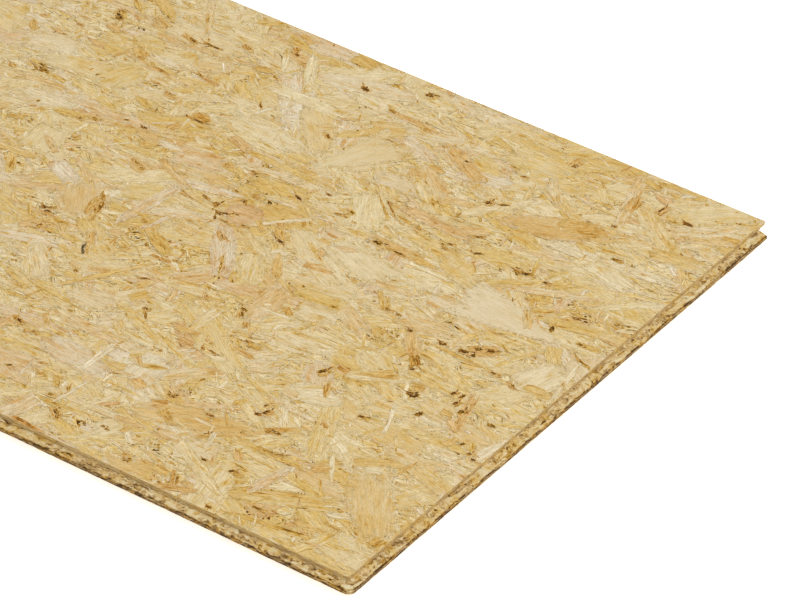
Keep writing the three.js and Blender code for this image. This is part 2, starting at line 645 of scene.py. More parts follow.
@dataclass(frozen=True)
class MilledBoardFinish:
    """Cut surface of the board: pressed strands, sawn and milled across their layers.

    The eye sees thin streaks of face strands near the faces, crosswise core strands between
    them, dark end grain, glue lines, and small open voids and tongue noses darkened with painted shade.
    """

    name: str = "oriented strand board, milled edge"
    strand_mm: tuple[float, float] = (18.0, 5.0)
    layer_mm: float = 0.8  # real strands press to 0.7 mm; a little more keeps the layers in view
    sways: tuple[tuple[float, tuple[float, float, float]], ...] = (
        (0.03, (18.0, 18.0, 4.0)),  # waves per mm, and their swing in mm
        (0.20, (4.0, 4.0, 1.6)),
    )
    strand_tone: Ramp = Ramp(start=0.37, end=0.76)
    glue: Ramp = Ramp(0.00, 0.12, 0.06, 0.00)  # by the distance to the next strand
    core_lift_mm: float = 2.5  # about as much as the swings raise the layers on average
    streaks: tuple[GrainLayer, ...] = (
        GrainLayer(16.0, 6.0, 0.30, 0.70, -0.14, 0.14, up=0.8),  # streaks within a strand
        GrainLayer(4.6, 2.2, 0.30, 0.70, -0.12, 0.14, up=0.8),  # torn fibre ends
        GrainLayer(6.0, 2.6, 0.64, 0.72, 0.00, 0.44, up=1.0),  # open voids, darkened: painted shade in their hollows
        GrainLayer(16.0, 9.0, 0.66, 0.74, 0.00, 0.28, up=1.4, detail=3.0),  # torn-out strands, darkened: painted shade in the hollows they leave
    )
    shoulder: tuple[float, float] = (0.66, 0.45)  # tone of the shoulders, and how much it shows
    shoulder_mm: tuple[float, float] = (5.0, 4.4)  # depth under the face over which it comes in
    # painted shade: how much darker the noses of the tongues get
    nose_shade: float = 0.28
    nose_shade_mm: tuple[float, float] = (1.6, 0.6)  # distance from the tongue's end, likewise
    amber_per_mm: float = 0.10  # patches of amber heartwood
    amber: Ramp = Ramp(0.48, 0.60, 0.00, 0.75)
    bump: tuple[float, float] = (0.6, 0.8 * MM)  # strength and depth
    roughness: float = 0.78
    ior: float = 1.45
    specular: float = 0.2

    def warp(self, tree: bpy.types.NodeTree, place: bpy.types.NodeSocket) -> bpy.types.NodeSocket:
        """Sways coordinates as the strands lie over each other.

        Args:
            tree: Material's node tree.
            place: Object coordinates in millimetres.

        Returns:
            The swayed coordinates.
        """
        add = partial(add_node, tree)
        swayed = place
        for per_mm, swing in self.sways:
            noise = add(
                "ShaderNodeTexNoise", inputs={"Vector": place, "Scale": per_mm, "Detail": 2.0}
            )["Color"]
            swayed = add(
                "ShaderNodeVectorMath", {"operation": "MULTIPLY_ADD"}, {0: noise, 1: swing, 2: swayed}
            )[0]
        return swayed

    def layers(
        self, tree: bpy.types.NodeTree, place: bpy.types.NodeSocket, along: float, across: float
    ) -> bpy.types.NodeSocket:
        """Draws the cut ends of strands that lie one way, with glue between them.

        Args:
            tree: Material's node tree.
            place: Swayed coordinates in millimetres.
            along: Size of a strand along X, mm.
            across: Size of a strand along Y, mm.

        Returns:
            Their tone.
        """
        add = partial(add_node, tree)
        scaled = add(
            "ShaderNodeVectorMath", {"operation": "MULTIPLY"},
            {0: place, 1: (1 / along, 1 / across, 1 / self.layer_mm)}
        )[0]
        cell = add("ShaderNodeTexVoronoi", inputs={"Vector": scaled, "Scale": 1.0})["Color"]
        chance = add("ShaderNodeSeparateXYZ", inputs={0: cell})[0]
        strand = add("ShaderNodeMapRange", inputs=self.strand_tone.over(chance))[0]
        gap = add(
            "ShaderNodeTexVoronoi", {"feature": "DISTANCE_TO_EDGE"}, {"Vector": scaled, "Scale": 1.0}
        )["Distance"]
        glue = add("ShaderNodeMapRange", inputs=self.glue.over(gap))[0]
        return add("ShaderNodeMath", {"operation": "ADD"}, {0: strand, 1: glue})[0]

    def build(self, sizes: PanelSizes) -> bpy.types.Material:
        """Makes the material.

        Args:
            sizes: Panel sizes, for the depth of the face layers and the tongues' noses.

        Returns:
            A solid texture on Object coordinates.
        """
        material, shader = new_material(self.name)
        tree = material.node_tree
        add = partial(add_node, tree)
        metres = add("ShaderNodeTexCoord")["Object"]
        steady = add("ShaderNodeVectorMath", {"operation": "SCALE"}, {0: metres, "Scale": 1 / MM})[0]
        place = self.warp(tree, steady)
        long, short = self.strand_mm
        outer = self.layers(tree, place, long, short)
        core = self.layers(tree, place, short, long)

        # crosswise strands take up the middle half of the thickness
        height = add("ShaderNodeSeparateXYZ", inputs={0: place})[2]
        in_core = add(
            "ShaderNodeMath", {"operation": "COMPARE"},
            {0: height, 1: sizes.thickness / 2 + self.core_lift_mm, 2: sizes.thickness / 4}
        )[0]
        tone = add("ShaderNodeMix", {"data_type": "FLOAT"}, {0: in_core, 2: outer, 3: core})[0]
        tone = sum_layers(tree, place, tone, self.streaks)

        # the saw leaves the shoulders over the tongues cleaner and more even than the rest
        at = add("ShaderNodeSeparateXYZ", inputs={0: metres})
        deep, shallow = ((sizes.thickness - depth) * MM for depth in self.shoulder_mm)
        even, share = self.shoulder
        over = add("ShaderNodeMapRange", inputs=Ramp(deep, shallow, end=share).over(at[2]))[0]
        tone = add("ShaderNodeMix", {"data_type": "FLOAT"}, {0: over, 2: tone, 3: even})[0]

        # painted shade: the noses of the tongues darken towards their ends
        past = []
        for axis, side in ((0, sizes.x_tongue), (1, sizes.y_tongue)):
            unshaded_at, shaded_at = ((side + math.copysign(sizes.reach - d, side)) * MM for d in self.nose_shade_mm)
            nose = Ramp(unshaded_at, shaded_at, end=self.nose_shade).over(at[axis])
            past.append(add("ShaderNodeMapRange", inputs=nose)[0])
        nose_darkening = add("ShaderNodeMath", {"operation": "MAXIMUM"}, {0: past[0], 1: past[1]})
        tone = add("ShaderNodeMath", {"operation": "ADD"}, {0: tone, 1: nose_darkening[0]})[0]

        # amber heartwood between weathered sapwood
        patch = add(
            "ShaderNodeTexNoise", inputs={"Vector": place, "Scale": self.amber_per_mm, "Detail": 2.0}
        )["Fac"]
        amber = add("ShaderNodeMapRange", inputs=self.amber.over(patch))[0]
        wood = mix_woods(tree, tone, amber, (MILLED_TONES, GOLDEN_TONES))
        strength, relief = self.bump
        bump = add(
            "ShaderNodeBump", {"invert": True}, {"Height": tone, "Strength": strength, "Distance": relief}
        )[0]
        feed(shader, {
            "Base Color": wood, "Normal": bump, "Roughness": self.roughness, "IOR": self.ior,
            "Specular IOR Level": self.specular,
        })
        return material


@dataclass(frozen=True)
class LightTableFinish:
    """White acrylic of a light table: lit through from below, so that shadows stay faint."""

    name: str = "white acrylic, lit through"
    colour: str = "#f6f6f6"
    glow: float = 0.66

    def build(self) -> bpy.types.Material:
        """Makes the material.

        Returns:
            A matt white that glows evenly.
        """
        material, shader = new_material(self.name)
        white = linear(self.colour)
        feed(shader, {
            "Base Color": white, "Roughness": 1.0, "Specular IOR Level": 0.0, "Emission Color": white,
            "Emission Strength": self.glow,
        })
        return material


# ---------------------------------------------------------------- board


@dataclass
class MilledBoard:
    """The pressed board with its milled tongues and grooves, without the loose face strands."""

    sizes: PanelSizes
    bed: bpy.types.Material  # finish of the two faces, between and under the strands
    finish: MilledBoardFinish = field(default_factory=MilledBoardFinish)
    spacing: float = 2.2  # mm between points along the edges
    rise: float = 1.7  # mm between points up the edges, at most
    root_radius: float = 0.4  # mm, of the corner between the tongues at their root
    corner_points: int = 9
    tear: float = 0.5  # mm that the cutter tears out at most
    torn: tuple[GrainLayer, ...] = (
        GrainLayer(16.0, 16.0, 0.50, 0.78, 0.0, 0.5, up=2.2),
        GrainLayer(5.0, 5.0, 0.45, 0.80, 0.0, 0.5, up=1.3)
    )
    edge_tilt: float = 0.999  # Z of the normal, under which a point lies on the edge
    face_tilt: float = 0.9999  # Z of the normal, over which a point lies on a face
    bare: float = 3.0  # local Z where no strand shows: a strand's own ends at 1
    strips: int = 8  # rows of the bake map that the edge is folded into
    strip_gap: float = 4.0  # mm between the rows
    map_margin: float = 2.0  # mm around the map
    map_fit: float = 0.97  # share of a row's length that the flat faces take up

    def section(self) -> list[tuple[float, float, float]]:
        """Cuts the edges' section into levels.

        Returns:
            Height, reach of the tongue sides and depth of the groove sides, from below.
        """
        s = self.sizes
        mid = s.thickness / 2
        root, nose, mouth = s.tongue_root / 2, s.tongue_nose / 2, s.groove_mouth / 2
        bottom = mouth - s.groove_wall_lean
        tongue = [(root, 0.0), (nose, s.reach - s.nose_break), (nose - s.nose_break, s.reach)]
        groove = [(mouth, 0.0), (bottom, s.groove_depth)]
        out_z, out = zip(*[(mid + h, v) for h, v in tongue[::-1]])
        cut_z, cut = zip(*[(mid + h, v) for h, v in groove[::-1]])
        bends = sorted({round(z, 6) for z in (mid, *out_z, *cut_z, s.thickness - s.skin)})
        heights = []
        for low, high in zip(bends, bends[1:]):
            run = abs(np.interp(high, out_z, out) - np.interp(low, out_z, out))
            steps = max(1, round(math.hypot(high - low, run) / self.rise))
            heights += [low + (high - low) * i / steps for i in range(steps)]
        upper = [*heights, bends[-1]]
        levels = [s.thickness - z for z in reversed(upper[1:])] + upper
        away = [mid + abs(z - mid) for z in levels]
        return list(zip(levels, np.interp(away, out_z, out), np.interp(away, cut_z, cut)))

    def outline(self, out: float, cut: float) -> np.ndarray:
        """Plan outline at one height, with even steps along each side.

        Args:
            out: How far the tongue sides stand out, mm.
            cut: How far the groove sides are cut in, mm.

        Returns:
            X and Y of each point, counter-clockwise, with the same count at every height.
        """
        s = self.sizes
        radius = self.root_radius + (s.corner_radius - self.root_radius) * out / s.reach
        x0, x1 = s.x_groove + cut, s.x_tongue + out
        y0, y1 = s.y_tongue - out, s.y_groove - cut
        turn = np.linspace(-math.pi / 2, 0, self.corner_points)
        corner = np.column_stack([x1 - radius + radius * np.cos(turn), y0 + radius + radius * np.sin(turn)])
        stops = [(x0, y0), corner[0], corner[-1], (x1, y1), (x0, y1), (x0, y0)]
        rows = []
        for number, (start, end) in enumerate(zip(stops, stops[1:])):
            if number == 1:
                rows.append(corner[:-1])
                continue
            span = s.cover_length if number in (0, 3) else s.cover_width
            share = np.linspace(0, 1, round(span / self.spacing), endpoint=False)[:, None]
            rows.append(np.array(start) * (1 - share) + np.array(end) * share)
        return np.concatenate(rows)

    def blank(self) -> bpy.types.Mesh:
        """Builds the closed mesh through all outlines, with a flat map for the export.

        Returns:
            The mesh, walls first, then the underside and the top.
        """
        levels = self.section()
        rings = [self.outline(out, cut) for _, out, cut in levels]
        count = len(rings[0])
        points = np.concatenate(
            [np.column_stack([r, np.full(count, z)]) for r, (z, _, _) in zip(rings, levels)]
        )
        step = np.arange(count)
        ahead = (step + 1) % count
        walls = [
            np.column_stack([k + step, k + ahead, k + count + ahead, k + count + step])
            for k in range(0, (len(levels) - 1) * count, count)
        ]
        faces = np.concatenate(walls).tolist()
        faces.append(step[::-1].tolist())
        faces.append((step + (len(levels) - 1) * count).tolist())
        mesh = bpy.data.meshes.new("milled_board")
        mesh.from_pydata((points * MM).tolist(), [], faces)
        self.map_flat(mesh, rings, levels)
        return mesh

    def map_flat(
        self,
        mesh: bpy.types.Mesh,
        rings: Sequence[np.ndarray],
        levels: Sequence[tuple[float, float, float]],
    ) -> None:
        """Unrolls the edge into rows and lays the two flat sides over them.

        Args:
            mesh: Board mesh, walls first, then the underside and the top.
            rings: Outline at each level, mm.
            levels: Height, reach and cut of each level, mm.
        """
        ring = rings[0]
        walk = np.append(0.0, np.cumsum(np.hypot(*(np.roll(ring, -1, 0) - ring).T)))
        climb = np.append(0.0, np.cumsum(np.abs(np.diff(levels, axis=0)).max(1)))
        row_length = walk[-1] / self.strips
        row = np.floor(walk[:-1] / row_length * 0.99999)  # a point on a fold stays in its row
        row_height = climb[-1] + self.strip_gap
        left = walk[:-1] - row * row_length
        right = walk[1:] - row * row_length
        corners = []
        for low, high in zip(climb, climb[1:]):
            base = row * row_height
            quad = [(left, base + low), (right, base + low), (right, base + high), (left, base + high)]
            corners.append(np.stack([np.column_stack(c) for c in quad], 1).reshape(-1, 2))
        shrink = row_length / self.sizes.cover_length * self.map_fit
        top = self.strips * row_height
        height = (self.sizes.cover_width + self.sizes.reach) * shrink + self.strip_gap
        for number, flat in enumerate((rings[0][::-1], rings[-1])):
            laid = (flat - flat.min(0)) * shrink
            corners.append(laid + (0.0, top + number * height))
        spots = np.concatenate(corners) + self.map_margin
        store_map(mesh, spots / (spots.max() + self.map_margin))

    def tear_tree(self) -> bpy.types.NodeTree:
        """Makes the tree that pulls the milled surface in where the cutter tore fibres out.

        Returns:
            A tree with inputs for the depth and for the finishes of the edge and of the faces.
        """
        inputs = {"Geometry": "Geometry", "Tear Depth": "Float", "Material": "Material"}
        tree = new_tree("Torn Fibres", {**inputs, "Bed Material": "Material"})
        add = partial(add_node, tree)
        given = add("NodeGroupInput")
        metres = add("GeometryNodeInputPosition")[0]
        place = add("ShaderNodeVectorMath", {"operation": "SCALE"}, {0: metres, "Scale": 1 / MM})[0]
        depth = add(
            "ShaderNodeMath", {"operation": "MULTIPLY"},
            {0: sum_layers(tree, place, 0.0, self.torn), 1: given["Tear Depth"]}
        )[0]
        normal = add("GeometryNodeInputNormal")[0]
        tilt = add("ShaderNodeSeparateXYZ", inputs={0: normal})[2]
        steep = add("ShaderNodeMath", {"operation": "ABSOLUTE"}, {0: tilt})[0]
        is_edge = add("ShaderNodeMath", {"operation": "LESS_THAN"}, {0: steep, 1: self.edge_tilt})[0]
        inward = add("ShaderNodeMath", {"operation": "MULTIPLY"}, {0: depth, 1: -1.0})[0]
        offset = add("ShaderNodeVectorMath", {"operation": "SCALE"}, {0: normal, "Scale": inward})[0]
        moved = add(
            "GeometryNodeSetPosition", inputs={0: given["Geometry"], "Selection": is_edge, "Offset": offset}
        )[0]
        # on the faces no strand shows, so the pressed finish draws its bed of crumbs alone
        marked = add(
            "GeometryNodeStoreNamedAttribute", {"data_type": "FLOAT_VECTOR", "domain": "POINT"},
            {"Geometry": moved, "Name": "local", "Value": (0.0, 0.0, self.bare)}
        )[0]
        milled = add(
            "GeometryNodeSetMaterial", inputs={"Geometry": marked, "Material": given["Material"]}
        )[0]
        is_face = add("ShaderNodeMath", {"operation": "GREATER_THAN"}, {0: steep, 1: self.face_tilt})[0]
        dressed = add(
            "GeometryNodeSetMaterial",
            inputs={"Geometry": milled, "Selection": is_face, "Material": given["Bed Material"]}
        )[0]
        add("NodeGroupOutput", inputs={0: dressed})
        return tree

    def build(self) -> bpy.types.Object:
        """Makes the board and puts it in the solid's place.

        Returns:
            The finished piece.
        """
        values = {"Tear Depth": self.tear * MM, "Bed Material": self.bed}
        values["Material"] = self.finish.build(self.sizes)
        piece = finish_piece("milled_board", run_tree(self.blank(), self.tear_tree(), values))
        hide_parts("osb_panel")
        return piece


# ---------------------------------------------------------------- strands


class Outline(Enum):
    """Outlines of a flaked strand; the value is its number in the stock of chips."""

    TORN = 0
    SPLIT = 1
    SKEWED = 2
    SNAPPED = 3
    HOOKED = 4
    BLUNT = 5
    LENS = 6
    ROUND = 7
    WEDGE = 8
    FRAYED = 9
    CLEFT = 10


CHIP_OUTLINES = (
    (
        (-0.50, -0.22), (-0.44, -0.40), (-0.18, -0.47), (0.20, -0.44), (0.44, -0.50),
        (0.41, -0.20), (0.50, -0.02), (0.43, 0.16), (0.47, 0.38), (0.12, 0.47),
        (-0.25, 0.42), (-0.46, 0.50), (-0.40, 0.20), (-0.49, 0.05),
    ),
    (
        (-0.50, -0.05), (-0.33, -0.33), (-0.05, -0.50), (0.27, -0.42), (0.50, -0.46),
        (0.46, -0.10), (0.50, 0.22), (0.25, 0.40), (-0.10, 0.50), (-0.38, 0.33),
        (-0.43, 0.10),
    ),
    (
        (-0.48, -0.45), (-0.10, -0.50), (0.30, -0.40), (0.49, -0.12), (0.42, 0.05),
        (0.50, 0.30), (0.38, 0.50), (-0.05, 0.42), (-0.36, 0.50), (-0.50, 0.33),
        (-0.42, 0.12), (-0.50, -0.10),
    ),
    (
        (-0.50, -0.38), (-0.20, -0.50), (0.15, -0.38), (0.50, -0.30), (0.40, 0.00),
        (0.50, 0.12), (0.33, 0.42), (-0.02, 0.50), (-0.30, 0.36), (-0.50, 0.48),
        (-0.44, 0.14), (-0.48, -0.12),
    ),
    (
        (-0.50, 0.10), (-0.40, -0.28), (-0.12, -0.42), (0.22, -0.50), (0.50, -0.35),
        (0.48, 0.08), (0.30, 0.24), (0.10, 0.44), (-0.22, 0.50), (-0.42, 0.40),
    ),
    (
        (-0.46, -0.50), (0.05, -0.44), (0.36, -0.50), (0.50, -0.18), (0.37, -0.05),
        (0.48, 0.20), (0.40, 0.46), (0.08, 0.50), (-0.28, 0.45), (-0.50, 0.40),
        (-0.41, 0.18), (-0.50, 0.00), (-0.43, -0.22),
    ),
    (
        (-0.50, 0.02), (-0.30, -0.30), (-0.02, -0.50), (0.26, -0.36), (0.50, -0.04),
        (0.28, 0.28), (0.04, 0.46), (-0.26, 0.34),
    ),
    (
        (-0.46, -0.14), (-0.24, -0.44), (0.10, -0.50), (0.42, -0.28), (0.50, 0.08),
        (0.30, 0.42), (-0.04, 0.50), (-0.38, 0.36), (-0.50, 0.10),
    ),
    (
        (-0.50, 0.04), (-0.22, -0.16), (0.16, -0.38), (0.46, -0.50), (0.50, -0.16),
        (0.42, 0.14), (0.50, 0.44), (0.12, 0.34), (-0.24, 0.18),
    ),
    (
        (-0.50, -0.10), (-0.32, -0.20), (-0.42, -0.42), (-0.10, -0.34), (0.30, -0.50),
        (0.26, -0.26), (0.50, -0.22), (0.36, 0.02), (0.48, 0.30), (0.20, 0.30),
        (0.20, 0.50), (-0.10, 0.36), (-0.40, 0.44), (-0.30, 0.18),
    ),
    (
        (-0.50, -0.02), (-0.34, -0.14), (-0.30, -0.50), (-0.06, -0.32), (0.14, -0.46),
        (0.28, -0.22), (0.50, -0.30), (0.40, -0.02), (0.50, 0.22), (0.26, 0.24),
        (0.30, 0.50), (0.02, 0.36), (-0.16, 0.50), (-0.30, 0.26), (-0.46, 0.30),
    ),
)
LOOSE_CHIPS = 6  # outlines that the scatter draws from; the rest are laid one by one
SPLINTER_OUTLINES = (
    ((-0.50, 0.00), (-0.20, -0.50), (0.28, -0.36), (0.50, 0.05), (-0.05, 0.50)),
    ((-0.50, -0.30), (0.05, -0.50), (0.50, -0.10), (0.40, 0.42), (-0.42, 0.28)),
    ((-0.47, -0.42), (0.12, -0.36), (0.50, -0.50), (0.44, 0.20), (-0.10, 0.50)),
    ((-0.50, 0.12), (-0.26, -0.44), (0.30, -0.50), (0.50, 0.18), (-0.16, 0.46)),
)


class ChipStock:
    """Flat closed chips of unit size, grain along X, for the trees to pick from."""

    def __init__(self, name: str, outlines: Sequence[Sequence[tuple[float, float]]]) -> None:
        """Makes one chip for each outline; local Z runs from 0 in its middle to 1 at its rim.

        Args:
            name: Name of the stock.
            outlines: Outlines, counter-clockwise.
        """
        self.shelf = bpy.data.collections.new(name)
        for number, outline in enumerate(outlines):
            count = len(outline)
            points = [(x, y, z) for z in (0.0, -1.0) for x, y in outline] + [(0.0, 0.0, 0.0)]
            ahead = [(i + 1) % count for i in range(count)]
            faces = [(i, ahead[i], 2 * count) for i in range(count)]
            faces += [(i, count + i, count + ahead[i], ahead[i]) for i in range(count)]
            faces.append(tuple(reversed(range(count, 2 * count))))
            mesh = bpy.data.meshes.new(f"{name}_{number:02d}")
            mesh.from_pydata(points, [], faces)
            local = mesh.attributes.new("local", "FLOAT_VECTOR", "POINT")
            rims = [(x, y, 1.0) for x, y, _ in points[:-1]] + [(0.0, 0.0, 0.0)]
            local.data.foreach_set("vector", np.array(rims, dtype=np.float32).ravel())
            self.shelf.objects.link(bpy.data.objects.new(mesh.name, mesh))

    def clear(self) -> None:
        """Removes the chips once every layer is laid."""
        for chip in list(self.shelf.objects):
            mesh = chip.data
            bpy.data.objects.remove(chip)
            bpy.data.meshes.remove(mesh)
        bpy.data.collections.remove(self.shelf)


@dataclass(frozen=True)
class StrandMix:
    """One fraction of strands as it falls on the mat, sizes in millimetres."""

    name: str
    count: int
    length: tuple[float, float]
    width: tuple[float, float]
    depth: tuple[float, float]  # under the face, of the first and of the last strand
    turn_deg: float
    tone: tuple[float, float]
    bold: tuple[float, float]
    seed: int
    splinters: bool = False
    length_power: float = 1.3
    width_power: float = 1.8
    tone_power: float = 1.0
    gather: float = 1.0  # share of the tone that is left away from where dark strands gather


@dataclass(frozen=True)
class PlacedStrand:
    """A listed strand, in millimetres and degrees, seen from above."""

    x: float
    y: float
    turn: float
    length: float
    width: float
    tone: float
    outline: Outline = Outline.TORN
    shade: float = 0.5
    bold: float = 1.0


# Strands that anyone would know this panel by: middle x and y, turn, length, width and tone. The
# broad ones also tell their shade, from gold to rose, how bold they are, and their outline.
BROAD_FLAKES = (
    (1147, 62, 178, 118, 66, 0.25, 0.45, 0.8, Outline.WEDGE),
    (1217, 3, 70, 56, 44, 0.26, 0.30, 0.6, Outline.ROUND),
    (886, 192, 66, 108, 62, 0.33, 0.20, 0.5, Outline.WEDGE),
    (1006, -40, 12, 46, 30, 0.26, 0.30, 0.4, Outline.SNAPPED),
    (995, -18, 8, 54, 22, 0.48, 0.00, 0.4, Outline.TORN),
    (993, 52, -18, 84, 46, 0.37, 0.20, 0.4, Outline.SKEWED),
    (632, 165, 70, 54, 42, 0.47, 0.00, 0.4, Outline.ROUND),
    (650, 211, 4, 44, 14, 0.30, 0.50, 0.4, Outline.BLUNT),
    (600, 88, 6, 70, 24, 0.30, 0.40, 0.4, Outline.SPLIT),
    (690, 0, -25, 42, 22, 0.28, 1.00, 0.4, Outline.TORN),
    (545, 170, 14, 64, 40, 0.36, 0.40, 0.4, Outline.SNAPPED),
    (730, -25, -60, 62, 52, 0.48, 0.50, 0.4, Outline.ROUND),
    (1207, -243, -54, 108, 46, 0.48, 0.30, 0.5, Outline.SNAPPED),
    (863, 46, 10, 40, 38, 0.51, 1.00, 0.6, Outline.ROUND),
    (1131, 288, -74, 100, 15, 0.40, 0.50, 0.7, Outline.SNAPPED),
    (1215, 236, 9, 60, 20, 0.53, 0.20, 0.7, Outline.BLUNT),
    (918, -20, -62, 56, 30, 0.38, 0.00, 0.4, Outline.SNAPPED),
    (880, -10, -55, 90, 26, 0.35, 1.00, 0.4, Outline.SPLIT),
    (760, -128, -45, 70, 22, 0.36, 0.30, 0.4, Outline.SPLIT),
    (835, -148, 8, 50, 34, 0.37, 0.40, 0.4, Outline.ROUND),
)
PALE_SLIVERS = (
    (1045, 78, 0, 54, 5, 0.17), (1237, 18, -80, 66, 5, 0.17), (1134, -85, -64, 30, 4, 0.19),
    (1147, -130, -69, 44, 5, 0.20), (1147, -217, -54, 42, 5, 0.21), (1043, -252, -74, 28, 5, 0.20),
    (738, 286, -59, 46, 8, 0.16), (698, 239, -50, 18, 3, 0.17), (692, 158, 8, 16, 4, 0.17),
    (892, -216, 88, 54, 8, 0.21), (740, -4, -14, 10, 4, 0.17), (505, 195, 10, 26, 12, 0.19),
    (980, -62, 3, 60, 4, 0.19), (905, -270, 84, 40, 4, 0.21), (868, -275, -52, 26, 4, 0.19),
    (908, -62, 0, 26, 3, 0.17), (1190, -270, 20, 22, 8, 0.21), (1087, -318, 0, 26, 6, 0.22),
    (897, 60, 48, 60, 6, 0.22), (770, 283, -60, 70, 12, 0.22), (985, -292, -40, 22, 6, 0.20),
)
HEARTWOOD = (
    (634, 82, 9, 34, 11, 0.66), (735, 154, -5, 19, 14, 0.66), (738, 217, -38, 30, 12, 0.57),
    (635, 303, -58, 64, 8, 0.53), (592, 290, -28, 38, 13, 0.56), (604, 267, -25, 24, 9, 0.60),
    (567, 277, -38, 20, 7, 0.56), (573, 229, -18, 18, 9, 0.60), (583, 124, -8, 26, 7, 0.70),
    (580, 110, 8, 46, 9, 0.62), (564, 106, 20, 18, 8, 0.64), (704, 210, -8, 20, 6, 0.66),
    (732, 260, 10, 20, 10, 0.62), (736, 307, -50, 13, 9, 0.68), (621, 209, -30, 18, 13, 0.56),
    (578, 196, -14, 26, 6, 0.60), (510, 184, -50, 20, 8, 0.64), (534, 191, 0, 14, 8, 0.60),
    (690, 166, 0, 14, 8, 0.60), (676, 141, -20, 24, 8, 0.60), (724, 126, 70, 14, 9, 0.58),
    (690, 333, 25, 30, 9, 0.55), (732, 331, -20, 20, 8, 0.58), (800, 332, -10, 26, 18, 0.58),
    (714, 97, -10, 30, 14, 0.54), (723, 86, 60, 16, 14, 0.60), (733, 53, -20, 34, 22, 0.56),
    (711, 39, 0, 14, 7, 0.62), (651, 30, -32, 30, 8, 0.56), (634, 0, 5, 42, 9, 0.55),
    (702, 14, -35, 44, 6, 0.56), (714, 6, -30, 22, 10, 0.56), (733, 10, 5, 34, 4, 0.58),
    (755, -42, -70, 20, 9, 0.60), (716, -88, 60, 18, 10, 0.58), (724, -78, 52, 20, 10, 0.60),
    (734, -70, 8, 24, 10, 0.61), (745, -75, -35, 16, 9, 0.58), (703, -69, -50, 18, 4, 0.56),
    (803, 104, 5, 11, 6, 0.64), (818, 101, -30, 18, 9, 0.56), (1003, 89, -2, 58, 14, 0.62),
    (1034, 87, 0, 34, 9, 0.64), (844, 61, 60, 16, 12, 0.58), (805, 44, -5, 30, 10, 0.56),
    (770, 62, -27, 46, 9, 0.54), (907, 41, -50, 26, 12, 0.66), (899, 53, -60, 10, 8, 0.64),
    (884, 42, -42, 18, 6, 0.60), (954, 42, -35, 11, 7, 0.66), (946, 59, 0, 13, 7, 0.62),
    (968, 61, 18, 22, 11, 0.58), (935, -2, -58, 40, 9, 0.60), (787, -12, 0, 15, 6, 0.60),
    (834, -4, -8, 24, 10, 0.54), (829, -38, -30, 40, 14, 0.62), (812, -29, -40, 14, 9, 0.58),
    (768, -60, -40, 40, 22, 0.55), (777, -76, -58, 38, 12, 0.60), (795, -76, -40, 11, 8, 0.62),
    (788, -49, 20, 18, 11, 0.58), (820, -110, 59, 92, 7, 0.60), (886, -93, -70, 28, 8, 0.56),
    (888, -74, 20, 20, 6, 0.60), (966, -93, -55, 9, 7, 0.68), (983, -53, -40, 13, 7, 0.62),
    (966, 20, 8, 30, 10, 0.55), (857, -99, 70, 20, 10, 0.55), (812, -108, 20, 20, 9, 0.62),
    (790, -114, -10, 16, 8, 0.60), (796, -129, 8, 16, 8, 0.60), (849, -115, 80, 12, 7, 0.60),
    (864, -116, 62, 18, 10, 0.58), (930, -133, 10, 24, 9, 0.55), (992, -115, 0, 13, 7, 0.64),
    (990, -129, -10, 24, 7, 0.62), (762, -160, -12, 34, 12, 0.55), (821, -196, -45, 16, 6, 0.58),
    (938, -196, 24, 30, 8, 0.62), (924, -196, -45, 13, 6, 0.58), (912, -213, 15, 18, 11, 0.58),
    (944, -224, -20, 16, 13, 0.60), (982, -221, 0, 17, 12, 0.60), (977, -236, 30, 15, 14, 0.58),
    (991, -246, -30, 20, 10, 0.64), (972, -273, 10, 30, 8, 0.62), (976, -281, 80, 16, 7, 0.60),
    (906, -244, 0, 15, 13, 0.53), (915, -303, -50, 19, 10, 0.68), (966, -313, 5, 20, 7, 0.58),
    (803, -213, -28, 16, 7, 0.68), (772, -167, -50, 12, 7, 0.62), (1055, 312, 70, 16, 11, 0.66),
    (1065, 290, 0, 9, 8, 0.62), (1135, 288, -74, 28, 12, 0.58), (1132, 327, -10, 20, 8, 0.60),
    (1098, 209, 23, 104, 36, 0.58), (1077, 184, 35, 17, 9, 0.64), (1161, 296, 82, 14, 7, 0.62),
    (1237, 295, 10, 18, 8, 0.62), (972, 247, -29, 68, 17, 0.58), (995, 236, -29, 22, 11, 0.68),
    (895, 275, -3, 56, 8, 0.56), (958, 222, 0, 18, 7, 0.58), (790, 141, -20, 28, 11, 0.57),
    (835, 215, 30, 15, 13, 0.56), (759, 213, -45, 20, 5, 0.62), (792, 192, 0, 22, 4, 0.60),
    (1200, 88, 15, 46, 14, 0.55), (1158, 73, -55, 30, 9, 0.50), (1208, 39, -60, 26, 15, 0.52),
    (1038, 36, 5, 44, 9, 0.56), (1226, -15, 10, 25, 13, 0.60), (1155, 6, 35, 26, 16, 0.62),
    (1140, -14, 0, 54, 6, 0.62), (1100, -25, -52, 36, 15, 0.55), (1100, -82, 39, 36, 15, 0.59),
    (1073, -94, 0, 13, 10, 0.66), (1140, -74, 20, 12, 12, 0.62), (1193, -80, -75, 52, 9, 0.54),
    (1181, -91, 0, 11, 9, 0.62), (1195, -103, -30, 18, 8, 0.62), (1207, -123, 75, 15, 7, 0.62),
    (1226, -119, -70, 15, 8, 0.62), (1079, -128, -62, 24, 6, 0.60), (1024, -160, -18, 36, 8, 0.57),
    (1057, -152, 0, 14, 11, 0.56), (1030, -190, 70, 14, 8, 0.60), (1098, -185, 0, 11, 8, 0.60),
    (1095, -235, 2, 68, 9, 0.60), (1140, -224, 60, 17, 13, 0.60), (1238, -280, 80, 15, 12, 0.66),
    (1075, -254, -40, 18, 10, 0.58), (1090, -276, 0, 11, 7, 0.62), (1195, -316, 20, 15, 6, 0.64),
    (1035, -312, 0, 17, 8, 0.60), (1059, -324, 24, 36, 8, 0.60), (1131, -117, 0, 17, 7, 0.56),
    (1010, -268, 0, 26, 12, 0.54), (1120, 225, 25, 44, 24, 0.62), (1230, 70, 0, 12, 8, 0.60),
)
